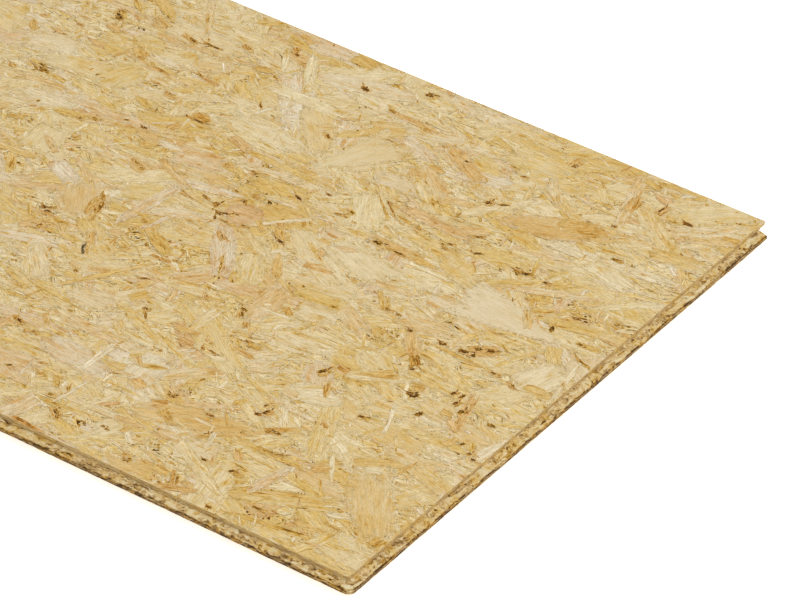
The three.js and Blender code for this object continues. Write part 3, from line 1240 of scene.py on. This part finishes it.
KNOTS_AND_BARK = (
    (562, 132, -10, 14, 4, 1.00), (565, 125, 5, 19, 8, 1.00), (736, 147, -3, 15, 3, 0.97),
    (566, 248, -40, 14, 9, 0.92), (563, 251, -30, 7, 5, 0.98), (539, 114, 0, 10, 8, 0.80),
    (647, 259, -15, 14, 5, 0.85), (666, 262, -5, 20, 4, 0.85), (673, 262, 0, 8, 3, 0.99),
    (690, 213, -20, 11, 5, 0.82), (697, 281, -30, 8, 5, 0.80), (741, 301, -30, 6, 4, 0.94),
    (626, 202, 0, 6, 4, 0.82), (664, 176, 0, 12, 4, 0.80), (688, 168, -20, 7, 4, 0.85),
    (545, 213, 0, 9, 4, 0.80), (507, 204, 50, 7, 5, 0.80), (703, 106, 0, 8, 4, 1.00),
    (646, 81, -30, 5, 4, 0.98), (597, 80, 80, 5, 4, 0.89), (658, 89, -10, 8, 4, 0.90),
    (682, 106, 40, 6, 4, 0.84), (734, 54, -25, 10, 4, 0.85), (743, 49, -10, 7, 4, 0.90),
    (662, 52, 60, 6, 4, 0.80), (672, 33, 50, 5, 4, 0.82), (595, 46, 15, 12, 5, 0.72),
    (744, -12, -50, 18, 5, 0.80), (751, -26, -78, 24, 7, 0.85), (711, -58, -20, 8, 5, 0.94),
    (716, -55, 40, 7, 3, 0.92), (731, -77, 10, 14, 5, 0.82), (726, -84, 80, 9, 5, 0.82),
    (885, 101, -20, 13, 5, 0.98), (930, 103, 20, 10, 3, 0.92), (937, 103, -20, 7, 3, 0.90),
    (938, 113, -40, 7, 4, 0.90), (949, 100, 0, 5, 3, 0.82), (984, 87, -5, 12, 7, 1.00),
    (1006, 85, -3, 26, 4, 0.85), (851, 78, 0, 6, 5, 0.78), (834, 74, -20, 8, 4, 0.78),
    (850, 65, -60, 6, 4, 0.94), (856, 43, 0, 8, 4, 0.84), (872, 32, 10, 7, 4, 0.84),
    (818, 48, -25, 13, 5, 0.88), (832, 45, 60, 8, 7, 1.00), (843, 35, 10, 9, 6, 1.00),
    (848, 38, 20, 9, 4, 0.99), (844, 26, -50, 7, 4, 0.92), (853, 27, 0, 14, 3, 0.82),
    (912, 33, -15, 15, 5, 1.00), (869, 6, -35, 12, 5, 0.80), (893, -31, -62, 28, 3, 0.76),
    (857, -52, 10, 7, 3, 0.82), (808, -64, 40, 8, 6, 0.78), (784, -88, -60, 14, 3, 0.90),
    (951, -75, -20, 10, 5, 0.84), (954, -82, -60, 9, 4, 0.98), (852, -92, 30, 11, 4, 0.85),
    (913, -80, -60, 8, 3, 0.84), (796, -121, -30, 5, 4, 0.92), (881, -129, 0, 6, 5, 0.90),
    (887, -137, -50, 16, 3, 0.80), (982, -113, 0, 7, 4, 0.88), (957, -146, -50, 7, 4, 0.85),
    (968, -145, -15, 11, 3, 0.82), (805, -214, -28, 9, 4, 0.99), (825, -219, 0, 6, 5, 0.80),
    (980, -219, 70, 8, 6, 1.00), (975, -220, 0, 4, 3, 0.94), (884, -260, 0, 10, 3, 0.82),
    (889, -266, -60, 12, 3, 0.80), (901, -267, -60, 7, 5, 0.90), (894, -284, 10, 7, 5, 0.85),
    (839, -272, 40, 6, 4, 0.90), (913, -301, -30, 9, 5, 0.98), (918, -306, -60, 9, 5, 0.90),
    (958, -292, 0, 5, 3, 0.88), (963, -294, 0, 5, 3, 0.88), (997, -313, 0, 8, 7, 0.78),
    (1057, 308, 80, 8, 6, 0.96), (1027, 205, 70, 8, 6, 0.98), (1041, 211, 35, 11, 4, 0.98),
    (1029, 262, 0, 6, 4, 0.94), (1140, 246, 0, 6, 4, 0.94), (1160, 297, 85, 13, 3, 0.96),
    (1192, 292, 0, 11, 6, 0.99), (1170, 201, 0, 8, 4, 0.98), (1117, 130, 15, 19, 7, 0.90),
    (1140, 130, 0, 6, 4, 0.98), (1066, 130, 28, 10, 4, 0.90), (1038, 127, 0, 6, 4, 0.94),
    (1038, 118, 0, 9, 5, 0.78), (973, 250, 0, 6, 4, 0.98), (870, 277, -10, 11, 6, 0.78),
    (914, 272, -10, 13, 5, 0.76), (827, 293, -20, 12, 8, 1.00), (882, 323, 0, 10, 9, 0.97),
    (766, 206, -45, 11, 4, 0.98), (847, 203, -35, 9, 4, 0.98), (904, 123, 0, 7, 4, 0.85),
    (963, 140, -42, 32, 3, 0.76), (1193, 100, 20, 8, 5, 0.98), (1202, 101, 10, 6, 4, 0.97),
    (1184, 73, -70, 10, 5, 0.97), (1217, 69, 0, 8, 5, 0.80), (1235, 46, -20, 22, 4, 0.88),
    (1052, 5, 0, 6, 4, 0.94), (1064, 5, 0, 6, 4, 0.94), (1046, 14, -50, 22, 4, 0.73),
    (1120, -7, 10, 9, 7, 1.00), (1141, -5, 10, 12, 6, 1.00), (1151, -5, -70, 6, 5, 1.00),
    (1160, 10, 20, 9, 6, 1.00), (1150, 6, 40, 7, 5, 1.00), (1180, -16, 0, 9, 5, 0.80),
    (1086, -9, 0, 5, 4, 0.97), (1117, -42, -56, 20, 4, 0.84), (1120, -56, 0, 6, 5, 0.97),
    (1169, -63, 80, 7, 4, 0.97), (1178, -62, 80, 8, 4, 0.97), (1179, -74, 80, 7, 4, 0.97),
    (1143, -87, 30, 12, 10, 1.00), (1190, -82, 80, 9, 5, 0.98), (1222, -82, 0, 9, 5, 0.97),
    (1060, -108, 60, 10, 7, 0.98), (1163, -107, 70, 9, 6, 0.98), (1205, -22, -40, 9, 4, 0.88),
    (1217, -120, 60, 7, 4, 0.94), (1229, -128, 60, 6, 4, 0.97), (1237, -133, 0, 6, 4, 0.94),
    (1126, -142, 10, 9, 5, 0.97), (1108, -172, -20, 10, 5, 0.80), (1057, -188, 75, 10, 5, 1.00),
    (1053, -195, 10, 8, 5, 1.00), (1051, -180, 60, 6, 4, 0.94), (1082, -207, 10, 8, 5, 0.98),
    (1075, -210, 60, 6, 4, 0.97), (1021, -222, 5, 11, 4, 0.90), (1092, -233, 5, 16, 4, 0.84),
    (1070, -249, 0, 6, 4, 0.82), (1083, -275, 40, 7, 4, 0.97), (1055, -277, 0, 6, 4, 0.92),
    (1130, -304, 0, 10, 3, 0.92), (1003, -318, 20, 10, 7, 0.92), (1054, -315, -62, 16, 3, 0.84),
    (1097, -328, 0, 6, 4, 0.92), (1227, 116, 0, 6, 4, 0.92), (1050, 152, 20, 14, 4, 0.76),
)


BARE_X = (-1240.0, 490.0)  # mm; the rows above fill the rest of the face
BARE_Y = (-320.0, 330.0)
CLUSTER_REACH = (16.0, 12.0)  # mm that strands stray from the middle of their cluster
STREW_SEED = 37  # of the strands that are strewn over the rest of the top
SLIVER_TURN = 24.0  # degrees that a sliver of bark lies off its knot's grain
SLIVER_WIDTH = 1.2  # mm, at least
SLIVER_TONE = 0.06  # how much lighter it is than its knot
RESIN_TONE = 0.69  # amber, between the heartwood and the bark


def strewn(rows: Sequence[tuple], clusters: int, most: int, dice: random.Random) -> tuple[tuple, ...]:
    """Strews strands like the given ones over the rest of the face.

    Args:
        rows: Strands listed near the tongued end.
        clusters: How many clusters to strew.
        most: Most strands in a cluster.
        dice: Seeded dice.

    Returns:
        Rows of the same kind.
    """
    strands = []
    for _ in range(clusters):
        x, y = dice.uniform(*BARE_X), dice.uniform(*BARE_Y)
        for _ in range(dice.randint(1, most)):
            like = dice.choice(rows)
            stray = [dice.gauss(0.0, reach) for reach in CLUSTER_REACH]
            strands.append((x + stray[0], y + stray[1], dice.uniform(-90.0, 90.0)) + like[3:])
    return tuple(strands)


def split_off(number: int, knot: Sequence[float]) -> tuple[float, ...]:
    """Tears a sliver of bark off one end of a knot.

    Args:
        number: Number of the knot, which says at what end.
        knot: Middle x and y, turn, length, width and tone of the knot.

    Returns:
        The same figures for the sliver, a little lighter than the knot.
    """
    x, y, turn, length, width, tone = knot
    side = 1 - 2 * (number % 2)
    along = math.radians(turn)
    off = side * 0.55 * length  # just past the knot's end
    at = (x + off * math.cos(along), y + off * math.sin(along) + 0.4 * width)
    size = (0.85 * length, max(0.35 * width, SLIVER_WIDTH))
    return (*at, turn + side * SLIVER_TURN, *size, max(tone - SLIVER_TONE, 0.0))


def resin(knot: Sequence[float]) -> tuple[float, ...]:
    """Soaks the wood around a knot with resin.

    Args:
        knot: Middle x and y, turn, length, width and tone of the knot.

    Returns:
        The same figures for the amber stain under it, larger and off to one side.
    """
    x, y, turn, length, width, _ = knot
    side = math.copysign(0.3 * length, turn)
    return (x + side, y, turn, 1.4 * length, 1.3 * width, RESIN_TONE)


@dataclass
class StrandPress:
    """Lays strands on a face in the order in which they fall and trims them at the edges."""

    sizes: PanelSizes
    material: bpy.types.Material  # finish of the strands
    chip_depth: float = 0.4  # mm
    trim: float = 0.02  # mm that the strands end short of the shoulders, at least
    ragged: float = 0.06  # mm more that some of them end short
    on_cut: float = 1e-7  # metres from a cut within which a point lies on it
    overhang: float = 25.0  # mm that strands' middles may lie outside before the trim
    spread: tuple[float, float, float] = (0.7548776662, 0.5698402910, 0.0)  # fills a square evenly
    seed_step: tuple[float, float, float] = (0.137, 0.291, 0.0)  # starts each mix elsewhere
    shade_power: float = 3.0  # most strands lean to gold, few to rose
    patch_per_m: float = 22.0  # patches where dark strands gather
    patches: tuple[float, float, float] = (0.38, 0.62, 1.05)  # noise outside, inside, and tone there
    scatter_lots: float = 900.0  # scattered strands draw a lot under this
    hand_lots: tuple[float, float] = (1000.0, 7.3)  # first lot of the listed strands, and step to the next
    golden_share: float = 0.6180339887  # steps that keep neighbours in a list well apart
    folds: int = 2  # rows of the export's map
    map_gap: float = 4.0  # mm between the rows
    map_fit: tuple[float, float] = (0.996, 0.002)  # share of the map in use, and its margin

    def __post_init__(self) -> None:
        """Makes the chips and the trees that every layer shares."""
        self.chips = ChipStock("strand_chip", CHIP_OUTLINES)
        self.splinters = ChipStock("splinter_chip", SPLINTER_OUTLINES)
        self.press_tree = self.make_press_tree()
        self.scatter_tree = self.make_scatter_tree()

    def make_press_tree(self) -> bpy.types.NodeTree:
        """Makes the tree that lays a chip on each point, sized and turned by its attributes.

        Returns:
            A tree with inputs for the stock of chips, their depth and their finish.
        """
        tree = new_tree(
            "Press Strands",
            {"Geometry": "Geometry", "Chips": "Collection", "Chip Depth": "Float", "Material": "Material"}
        )
        add = partial(add_node, tree)
        given = add("NodeGroupInput")
        kinds = dict.fromkeys(("turn", "length", "width", "lot"), "FLOAT")
        kinds.update(outline="INT", local="FLOAT_VECTOR")
        read = {}
        for name, kind in kinds.items():
            read[name] = add(
                "GeometryNodeInputNamedAttribute", {"data_type": kind}, {"Name": name}
            )["Attribute"]
        chips = add(
            "GeometryNodeCollectionInfo",
            inputs={"Collection": given["Chips"], "Separate Children": True, "Reset Children": True}
        )[0]
        turn = add("ShaderNodeCombineXYZ", inputs={"Z": read["turn"]})[0]
        size = add(
            "ShaderNodeCombineXYZ",
            inputs={"X": read["length"], "Y": read["width"], "Z": given["Chip Depth"]}
        )[0]
        laid = add(
            "GeometryNodeInstanceOnPoints",
            inputs={
                "Points": given["Geometry"], "Instance": chips, "Pick Instance": True,
                "Instance Index": read["outline"], "Rotation": turn, "Scale": size
            }
        )[0]
        solid = add("GeometryNodeRealizeInstances", inputs={0: laid})[0]

        # grain coordinates in millimetres: along, across, and the strand's own lot number
        plan = add("ShaderNodeCombineXYZ", inputs={"X": read["length"], "Y": read["width"]})[0]
        stretched = add("ShaderNodeVectorMath", {"operation": "MULTIPLY"}, {0: read["local"], 1: plan})[0]
        lot = add("ShaderNodeCombineXYZ", inputs={"Z": read["lot"]})[0]
        grain = add(
            "ShaderNodeVectorMath", {"operation": "MULTIPLY_ADD"},
            {0: stretched, 1: (1 / MM, 1 / MM, 1.0), 2: lot}
        )[0]
        kept = add(
            "GeometryNodeStoreNamedAttribute", {"data_type": "FLOAT_VECTOR", "domain": "POINT"},
            {"Geometry": solid, "Name": "grain", "Value": grain}
        )[0]
        dressed = add(
            "GeometryNodeSetMaterial", inputs={"Geometry": kept, "Material": given["Material"]}
        )[0]
        add("NodeGroupOutput", inputs={0: dressed})
        return tree

    def make_scatter_tree(self) -> bpy.types.NodeTree:
        """Makes the tree that spreads one mix evenly over the face, then presses it.

        Returns:
            A tree with inputs for the mix, the corners of the face and the stock of chips.
        """
        draws = ("Length", "Width", "Tone", "Shade", "Bold", "Lot", "Outline")
        inputs = {
            "Count": "Int", "First Corner": "Vector", "Last Corner": "Vector", "Turn": "Float",
            "Gather": "Float", "Seed": "Int", "Chips": "Collection", "Chip Depth": "Float",
            "Material": "Material"
        }
        for draw in draws:
            inputs.update({f"{draw} Min": "Float", f"{draw} Max": "Float"})
            inputs[f"{draw} Power"] = "Float"
        tree = new_tree("Scatter Strands", inputs)
        add = partial(add_node, tree)
        given = add("NodeGroupInput")
        chances = []
        for stream in range(len(draws) + 2):  # the last two are for the turn
            seed = add("ShaderNodeMath", {"operation": "ADD"}, {0: given["Seed"], 1: stream})[0]
            chance = add("FunctionNodeRandomValue", {"data_type": "FLOAT"}, {"Seed": seed})
            chances.append(chance[1])

        # even, never repeating middles; the later a strand falls, the nearer it lies to the face
        index = add("GeometryNodeInputIndex")[0]
        walk = add("ShaderNodeVectorMath", {"operation": "SCALE"}, {0: self.spread, "Scale": index})[0]
        start = add(
            "ShaderNodeVectorMath", {"operation": "SCALE"}, {0: self.seed_step, "Scale": given["Seed"]}
        )[0]
        moved = add("ShaderNodeVectorMath", {"operation": "ADD"}, {0: walk, 1: start})[0]
        wrapped = add("ShaderNodeVectorMath", {"operation": "FRACTION"}, {0: moved})[0]
        share = add("ShaderNodeMath", {"operation": "DIVIDE"}, {0: index, 1: given["Count"]})[0]
        fall = add("ShaderNodeCombineXYZ", inputs={"Z": share})[0]
        spot = add("ShaderNodeVectorMath", {"operation": "ADD"}, {0: wrapped, 1: fall})[0]
        room = add(
            "ShaderNodeVectorMath", {"operation": "SUBTRACT"},
            {0: given["Last Corner"], 1: given["First Corner"]}
        )[0]
        middle = add(
            "ShaderNodeVectorMath", {"operation": "MULTIPLY_ADD"},
            {0: spot, 1: room, 2: given["First Corner"]}
        )[0]
        flow = add("GeometryNodePoints", inputs={"Count": given["Count"], "Position": middle})[0]

        # strands lie near the panel's length and stray from it more and more rarely
        either_way = Ramp(start=-1.0, end=1.0)
        swing = add("ShaderNodeMapRange", inputs=either_way.over(chances[-1]))["Result"]
        lean = add("ShaderNodeMath", {"operation": "MULTIPLY"}, {0: swing, 1: chances[-2]})[0]
        turn = add("ShaderNodeMath", {"operation": "MULTIPLY"}, {0: lean, 1: given["Turn"]})[0]
        # dark strands gather, as they came off the same log
        gathered = add(
            "ShaderNodeTexNoise", inputs={"Vector": middle, "Scale": self.patch_per_m, "Detail": 2.0}
        )["Fac"]
        outside, inside, darkest = self.patches
        darker = Ramp(outside, inside, given["Gather"], darkest)
        gather = add("ShaderNodeMapRange", inputs=darker.over(gathered))["Result"]
        tone_stream = draws.index("Tone")
        chances[tone_stream] = add(
            "ShaderNodeMath", {"operation": "MULTIPLY"}, {0: chances[tone_stream], 1: gather}
        )[0]
        values = {"turn": turn}
        for chance, draw in zip(chances, draws):
            shaped = add(
                "ShaderNodeMath", {"operation": "POWER"}, {0: chance, 1: given[f"{draw} Power"]}
            )[0]
            drawn = Ramp(start=given[f"{draw} Min"], end=given[f"{draw} Max"]).over(shaped)
            values[draw.lower()] = add("ShaderNodeMapRange", inputs=drawn)["Result"]
        for name, value in values.items():
            kind = "INT" if name == "outline" else "FLOAT"
            flow = add(
                "GeometryNodeStoreNamedAttribute", {"data_type": kind, "domain": "POINT"},
                {"Geometry": flow, "Name": name, "Value": value}
            )[0]
        shared = {name: given[name] for name in ("Chips", "Chip Depth", "Material")}
        pressed = add("GeometryNodeGroup", {"node_tree": self.press_tree}, {"Geometry": flow, **shared})[0]
        add("NodeGroupOutput", inputs={0: pressed})
        return tree

    def trimmed(self, mesh: bpy.types.Mesh) -> None:
        """Saws the strands off at the four sides of the top face and closes the cuts.

        Args:
            mesh: Strands as they lie on the top face.
        """
        s = self.sizes
        shaped = bmesh.new()
        shaped.from_mesh(mesh)
        lot = shaped.verts.layers.float["lot"]
        for corner, outward in (
            ((s.x_tongue - self.trim, 0.0, 0.0), (1, 0, 0)),
            ((s.x_groove + self.trim, 0.0, 0.0), (-1, 0, 0)),
            ((0.0, s.y_groove - self.trim, 0.0), (0, 1, 0)),
            ((0.0, s.y_tongue + self.trim, 0.0), (0, -1, 0)),
        ):
            cut = bmesh.ops.bisect_plane(
                shaped, geom=shaped.verts[:] + shaped.edges[:] + shaped.faces[:], dist=self.on_cut,
                plane_co=Vector(corner) * MM, plane_no=outward, clear_outer=True
            )
            edges = [g for g in cut["geom_cut"] if isinstance(g, bmesh.types.BMEdge)]
            bmesh.ops.edgeloop_fill(shaped, edges=edges)
            # no two strands end in quite the same plane
            for vertex in {v for edge in edges for v in edge.verts}:
                vertex.co -= Vector(outward) * (vertex[lot] % 1.0) * self.ragged * MM
        order = {}
        shaped.verts.index_update()
        for face in shaped.faces:
            face.material_index = 0
            number = face.verts[0][lot]
            order.setdefault(number, len(order))
        shaped.faces.sort(key=lambda face: order[face.verts[0][lot]])
        shaped.to_mesh(mesh)
        shaped.free()
        mesh.materials.clear()
        mesh.materials.append(self.material)

    def map_flat(self, mesh: bpy.types.Mesh) -> None:
        """Gives the strands a flat map for the export, in rows along the panel's length.

        Args:
            mesh: Mesh to map.
        """
        count = len(mesh.vertices)
        points = np.empty(count * 3, dtype=np.float32)
        mesh.vertices.foreach_get("co", points)
        plan = points.reshape(-1, 3)[:, :2]
        corner = np.empty(len(mesh.loops), dtype=np.int32)
        mesh.loops.foreach_get("vertex_index", corner)
        lot = np.empty(count, dtype=np.float32)
        mesh.attributes["lot"].data.foreach_get("value", lot)
        chip = np.unique(lot, return_inverse=True)[1]
        middle = np.bincount(chip, plan[:, 0]) / np.bincount(chip)
        low, high = middle.min(), middle.max()
        row = (middle - low) / (high - low) * self.folds
        row = np.clip(row, 0, self.folds - 1).astype(int)[chip]
        flat = np.zeros((count, 2))
        base = 0.0
        for number in range(self.folds):
            mine = row == number
            part = plan[mine] - plan[mine].min(0)
            flat[mine] = part + (0.0, base)
            base += part[:, 1].max() + self.map_gap * MM
        share, margin = self.map_fit
        flat = flat / flat.max() * share + margin
        store_map(mesh, flat[corner])

    def finish(self, mesh: bpy.types.Mesh, name: str, face: Face) -> bpy.types.Object:
        """Trims the strands, turns them to their face and puts them on the panel.

        Args:
            mesh: Strands as they lie on the top face.
            name: Name of the piece.
            face: Face that they belong to.

        Returns:
            The finished piece.
        """
        self.trimmed(mesh)
        if face is Face.UNDERSIDE:
            s = self.sizes
            axle = Vector((0.0, (s.y_tongue + s.y_groove) / 2, s.thickness / 2)) * MM
            half_turn = Matrix.Rotation(math.pi, 4, "X")
            mesh.transform(Matrix.Translation(axle) @ half_turn @ Matrix.Translation(-axle))
        self.map_flat(mesh)
        for spent in ("turn", "length", "outline", "lot"):
            mesh.attributes.remove(mesh.attributes[spent])
        piece = finish_piece(f"{face.value}_{name}", mesh)
        return piece

    def scatter(self, mix: StrandMix, face: Face) -> bpy.types.Object:
        """Scatters one mix of strands over a face.

        Args:
            mix: The fraction to lay.
            face: Face that takes it.

        Returns:
            The finished piece.
        """
        s = self.sizes
        loose = len(SPLINTER_OUTLINES) if mix.splinters else LOOSE_CHIPS
        first = (s.x_groove - self.overhang, s.y_tongue - self.overhang, s.thickness - mix.depth[0])
        last = (s.x_tongue + self.overhang, s.y_groove + self.overhang, s.thickness - mix.depth[1])
        values = {
            "Count": mix.count, "First Corner": [v * MM for v in first],
            "Last Corner": [v * MM for v in last], "Turn": math.radians(mix.turn_deg), "Gather": mix.gather,
            "Seed": mix.seed, "Chips": (self.splinters if mix.splinters else self.chips).shelf,
            "Chip Depth": self.chip_depth * MM, "Material": self.material
        }
        for draw, low, high, power in (
            ("Length", mix.length[0] * MM, mix.length[1] * MM, mix.length_power),
            ("Width", mix.width[0] * MM, mix.width[1] * MM, mix.width_power),
            ("Tone", mix.tone[0], mix.tone[1], mix.tone_power),
            ("Shade", 0.0, 1.0, self.shade_power),
            ("Bold", mix.bold[0], mix.bold[1], 1.0),
            ("Lot", 0.0, self.scatter_lots, 1.0),
            ("Outline", 0.0, loose - 0.001, 1.0),  # cut to a whole number
        ):
            values.update({f"{draw} Min": low, f"{draw} Max": high, f"{draw} Power": power})
        mesh = run_tree(bpy.data.meshes.new("mat"), self.scatter_tree, values)
        return self.finish(mesh, mix.name, face)

    def place(
        self, strands: Sequence[PlacedStrand], name: str, depth: tuple[float, float]
    ) -> bpy.types.Object:
        """Presses listed strands into the top face.

        Args:
            strands: Strands to lay.
            name: Name of the piece.
            depth: Depth under the face of the lowest and of the highest strand, mm.

        Returns:
            The finished piece.
        """
        # neighbours in a list keep well apart in depth, so that none lies in another's shadow
        share = np.arange(len(strands)) * self.golden_share % 1.0
        levels = self.sizes.thickness - depth[0] + (depth[0] - depth[1]) * share
        first_lot, lot_step = self.hand_lots
        mesh = bpy.data.meshes.new("mat")
        mesh.from_pydata([(s.x * MM, s.y * MM, z * MM) for s, z in zip(strands, levels)], [], [])
        for label, kind, values in (
            ("turn", "FLOAT", [math.radians(s.turn) for s in strands]),
            ("length", "FLOAT", [s.length * MM for s in strands]),
            ("width", "FLOAT", [s.width * MM for s in strands]),
            ("tone", "FLOAT", [s.tone for s in strands]),
            ("shade", "FLOAT", [s.shade for s in strands]),
            ("bold", "FLOAT", [s.bold for s in strands]),
            ("lot", "FLOAT", [first_lot + lot_step * i for i in range(len(strands))]),
            ("outline", "INT", [s.outline.value for s in strands]),
        ):
            layer = mesh.attributes.new(label, kind, "POINT")
            layer.data.foreach_set("value", values)
        values = {"Chips": self.chips.shelf, "Chip Depth": self.chip_depth * MM, "Material": self.material}
        return self.finish(run_tree(mesh, self.press_tree, values), name, Face.TOP)

    def clear(self) -> None:
        """Removes the stocks of chips."""
        self.chips.clear()
        self.splinters.clear()


# ---------------------------------------------------------------- studio


SQUARE = ((-1, -1), (1, -1), (1, 1), (-1, 1))


@dataclass
class Studio:
    """White floor, soft light and the camera."""

    focal_px: float = 4966.0
    frame_px: float = 800.0
    sensor_mm: float = 36.0
    yaw_deg: float = 32.44
    pitch_deg: float = 35.12
    roll_deg: float = 3.60
    eye_mm: tuple[float, float, float] = (3014.25, -3062.75, 2591.0)
    far: float = 100.0  # metres that the camera sees
    key_place: tuple[float, float, float] = (3.6, 0.5, 6.6)  # metres
    key_target: tuple[float, float, float] = (0.75, 0.0, 0.0)
    key_size: float = 3.6  # metres
    key_power: float = 280.0  # watts
    sky: float = 0.78
    floor_reach: float = 12.0  # metres
    floor_gap_mm: float = 0.3

    def camera(self) -> None:
        """Sets the camera: a long lens, looking down on the tongued corner."""
        yaw, pitch, roll = (math.radians(a) for a in (self.yaw_deg, self.pitch_deg, self.roll_deg))
        ahead = Vector(
            (-math.sin(yaw) * math.cos(pitch), math.cos(yaw) * math.cos(pitch), -math.sin(pitch))
        )
        right = Vector((math.cos(yaw), math.sin(yaw), 0.0))
        up = right.cross(ahead)
        turned_right = right * math.cos(roll) + up * math.sin(roll)
        turned_up = up * math.cos(roll) - right * math.sin(roll)
        matrix = Matrix((turned_right, turned_up, -ahead)).transposed().to_4x4()
        matrix.translation = Vector(self.eye_mm) * MM
        data = bpy.data.cameras.new("camera")
        data.sensor_width = self.sensor_mm
        data.lens = self.focal_px / self.frame_px * self.sensor_mm
        data.clip_end = self.far
        camera = add_object("camera", data)
        camera.matrix_world = matrix
        bpy.context.scene.camera = camera

    def lamp(self) -> None:
        """Hangs one square softbox over the panel."""
        data = bpy.data.lights.new("key softbox", "AREA")
        data.size = self.key_size
        data.energy = self.key_power
        lamp = add_object("key softbox", data)
        lamp.location = self.key_place
        down = Vector(self.key_target) - Vector(self.key_place)
        lamp.rotation_euler = down.to_track_quat("-Z", "Y").to_euler()

    def build(self) -> None:
        """Makes the floor, the light and the sky, and sets plain colour output."""
        mesh = bpy.data.meshes.new("floor")
        corners = [(x * self.floor_reach, y * self.floor_reach, 0.0) for x, y in SQUARE]
        mesh.from_pydata(corners, [], [(0, 1, 2, 3)])
        mesh.materials.append(LightTableFinish().build())
        floor = add_object("floor", mesh)
        floor.location.z = -self.floor_gap_mm * MM
        world = bpy.data.worlds.new("soft white room")
        world.use_nodes = True
        feed(world.node_tree.nodes["Background"], {"Color": (1.0, 1.0, 1.0, 1.0), "Strength": self.sky})
        bpy.context.scene.world = world
        self.lamp()
        bpy.context.scene.view_settings.view_transform = "Standard"


# ---------------------------------------------------------------- main


TOP_MIXES = (
    # name, count, length, width, depth, turn, tone, bold and seed
    StrandMix("strands", 2900, (35, 140), (6, 40), (0.45, 0.16), 90, (0.28, 0.57), (0.2, 0.95), 11),
    StrandMix(
        "splinters", 5000, (8, 36), (1.5, 6), (0.20, 0.12), 150, (0.26, 0.70), (0.3, 1.0), 29,
        splinters=True, gather=0.7,
    ),
    StrandMix("flakes", 340, (40, 110), (12, 42), (0.11, 0.07), 130, (0.30, 0.52), (0.4, 1.0), 83),
    StrandMix(
        "crumbs", 5000, (3, 16), (1.0, 4), (0.065, 0.055), 360, (0.20, 0.86), (0.4, 1.0), 53,
        splinters=True, tone_power=1.8, gather=0.5,
    ),
)
UNDERSIDE_MIXES = (
    # name, count, length, width, depth, turn, tone, bold and seed
    StrandMix("strands", 2600, (40, 150), (6, 42), (0.45, 0.12), 60, (0.30, 0.56), (0.2, 1.0), 47),
    StrandMix(
        "splinters", 4000, (7, 50), (1.2, 6), (0.20, 0.03), 75, (0.26, 0.66), (0.4, 1.0), 71,
        splinters=True,
    ),
    StrandMix(
        "crumbs", 1600, (3, 16), (1.0, 5), (0.020, 0.004), 360, (0.26, 1.0), (0.4, 1.0), 61,
        splinters=True, tone_power=1.8, gather=0.5,
    ),
)
BROAD_DEPTH = (0.052, 0.025)  # mm under the face, of the lowest and of the highest flake
LOOSE_FORMS = list(Outline)[:9]  # all but the two that only bark takes
TORN_FORMS = [Outline.FRAYED, Outline.LENS, Outline.CLEFT, Outline.WEDGE]
SHADE_STEP = 0.37  # from one strand to the next, so that neighbours differ
SHADE_TOP = 0.7


def main() -> None:
    """Builds the board, its strand faces and the studio, and logs each piece."""
    logging.basicConfig(level=logging.INFO, format="%(message)s")
    sizes = PanelSizes()
    studio = Studio()
    studio.camera()
    pressed = PressedStrandFinish().build()
    MilledBoard(sizes, pressed).build()
    press = StrandPress(sizes, pressed)
    for mix in TOP_MIXES:
        press.scatter(mix, Face.TOP)

    # besides the listed strands: how many clusters, and how many strands in one at most
    dice = random.Random(STREW_SEED)
    flakes = BROAD_FLAKES + strewn(BROAD_FLAKES, 44, 1, dice)
    slivers = PALE_SLIVERS + strewn(PALE_SLIVERS, 36, 2, dice)
    heartwood = HEARTWOOD + strewn(HEARTWOOD, 110, 4, dice)
    knots = KNOTS_AND_BARK + strewn(KNOTS_AND_BARK, 120, 4, dice)
    amber = heartwood + tuple(resin(knot) for knot in knots[::2])
    bark = [part for number, knot in enumerate(knots) for part in (knot, split_off(number, knot))]
    broad = [PlacedStrand(*row[:6], shade=row[6], bold=row[7], outline=row[8]) for row in flakes]
    press.place(broad, "broad_flakes", BROAD_DEPTH)
    # outlines, boldness, how much larger the strands are pressed, and depth as for the flakes
    for name, rows, forms, bold, swell, depth in (
        ("slivers", slivers, LOOSE_FORMS, 0.4, 1.1, (0.022, 0.018)),
        ("heartwood", amber, LOOSE_FORMS, 0.7, 1.15, (0.016, 0.009)),
        ("knots", bark, TORN_FORMS, 0.4, 1.25, (0.007, 0.001)),
    ):
        marks = []
        for number, (x, y, turn, length, width, tone) in enumerate(rows):
            form, shade = forms[number % len(forms)], number * SHADE_STEP % SHADE_TOP
            marks.append(PlacedStrand(x, y, turn, length * swell, width * swell, tone, form, shade, bold))
        press.place(marks, name, depth)
    for mix in UNDERSIDE_MIXES:
        press.scatter(mix, Face.UNDERSIDE)
    press.clear()
    studio.build()


if __name__ == "__main__":
    main()
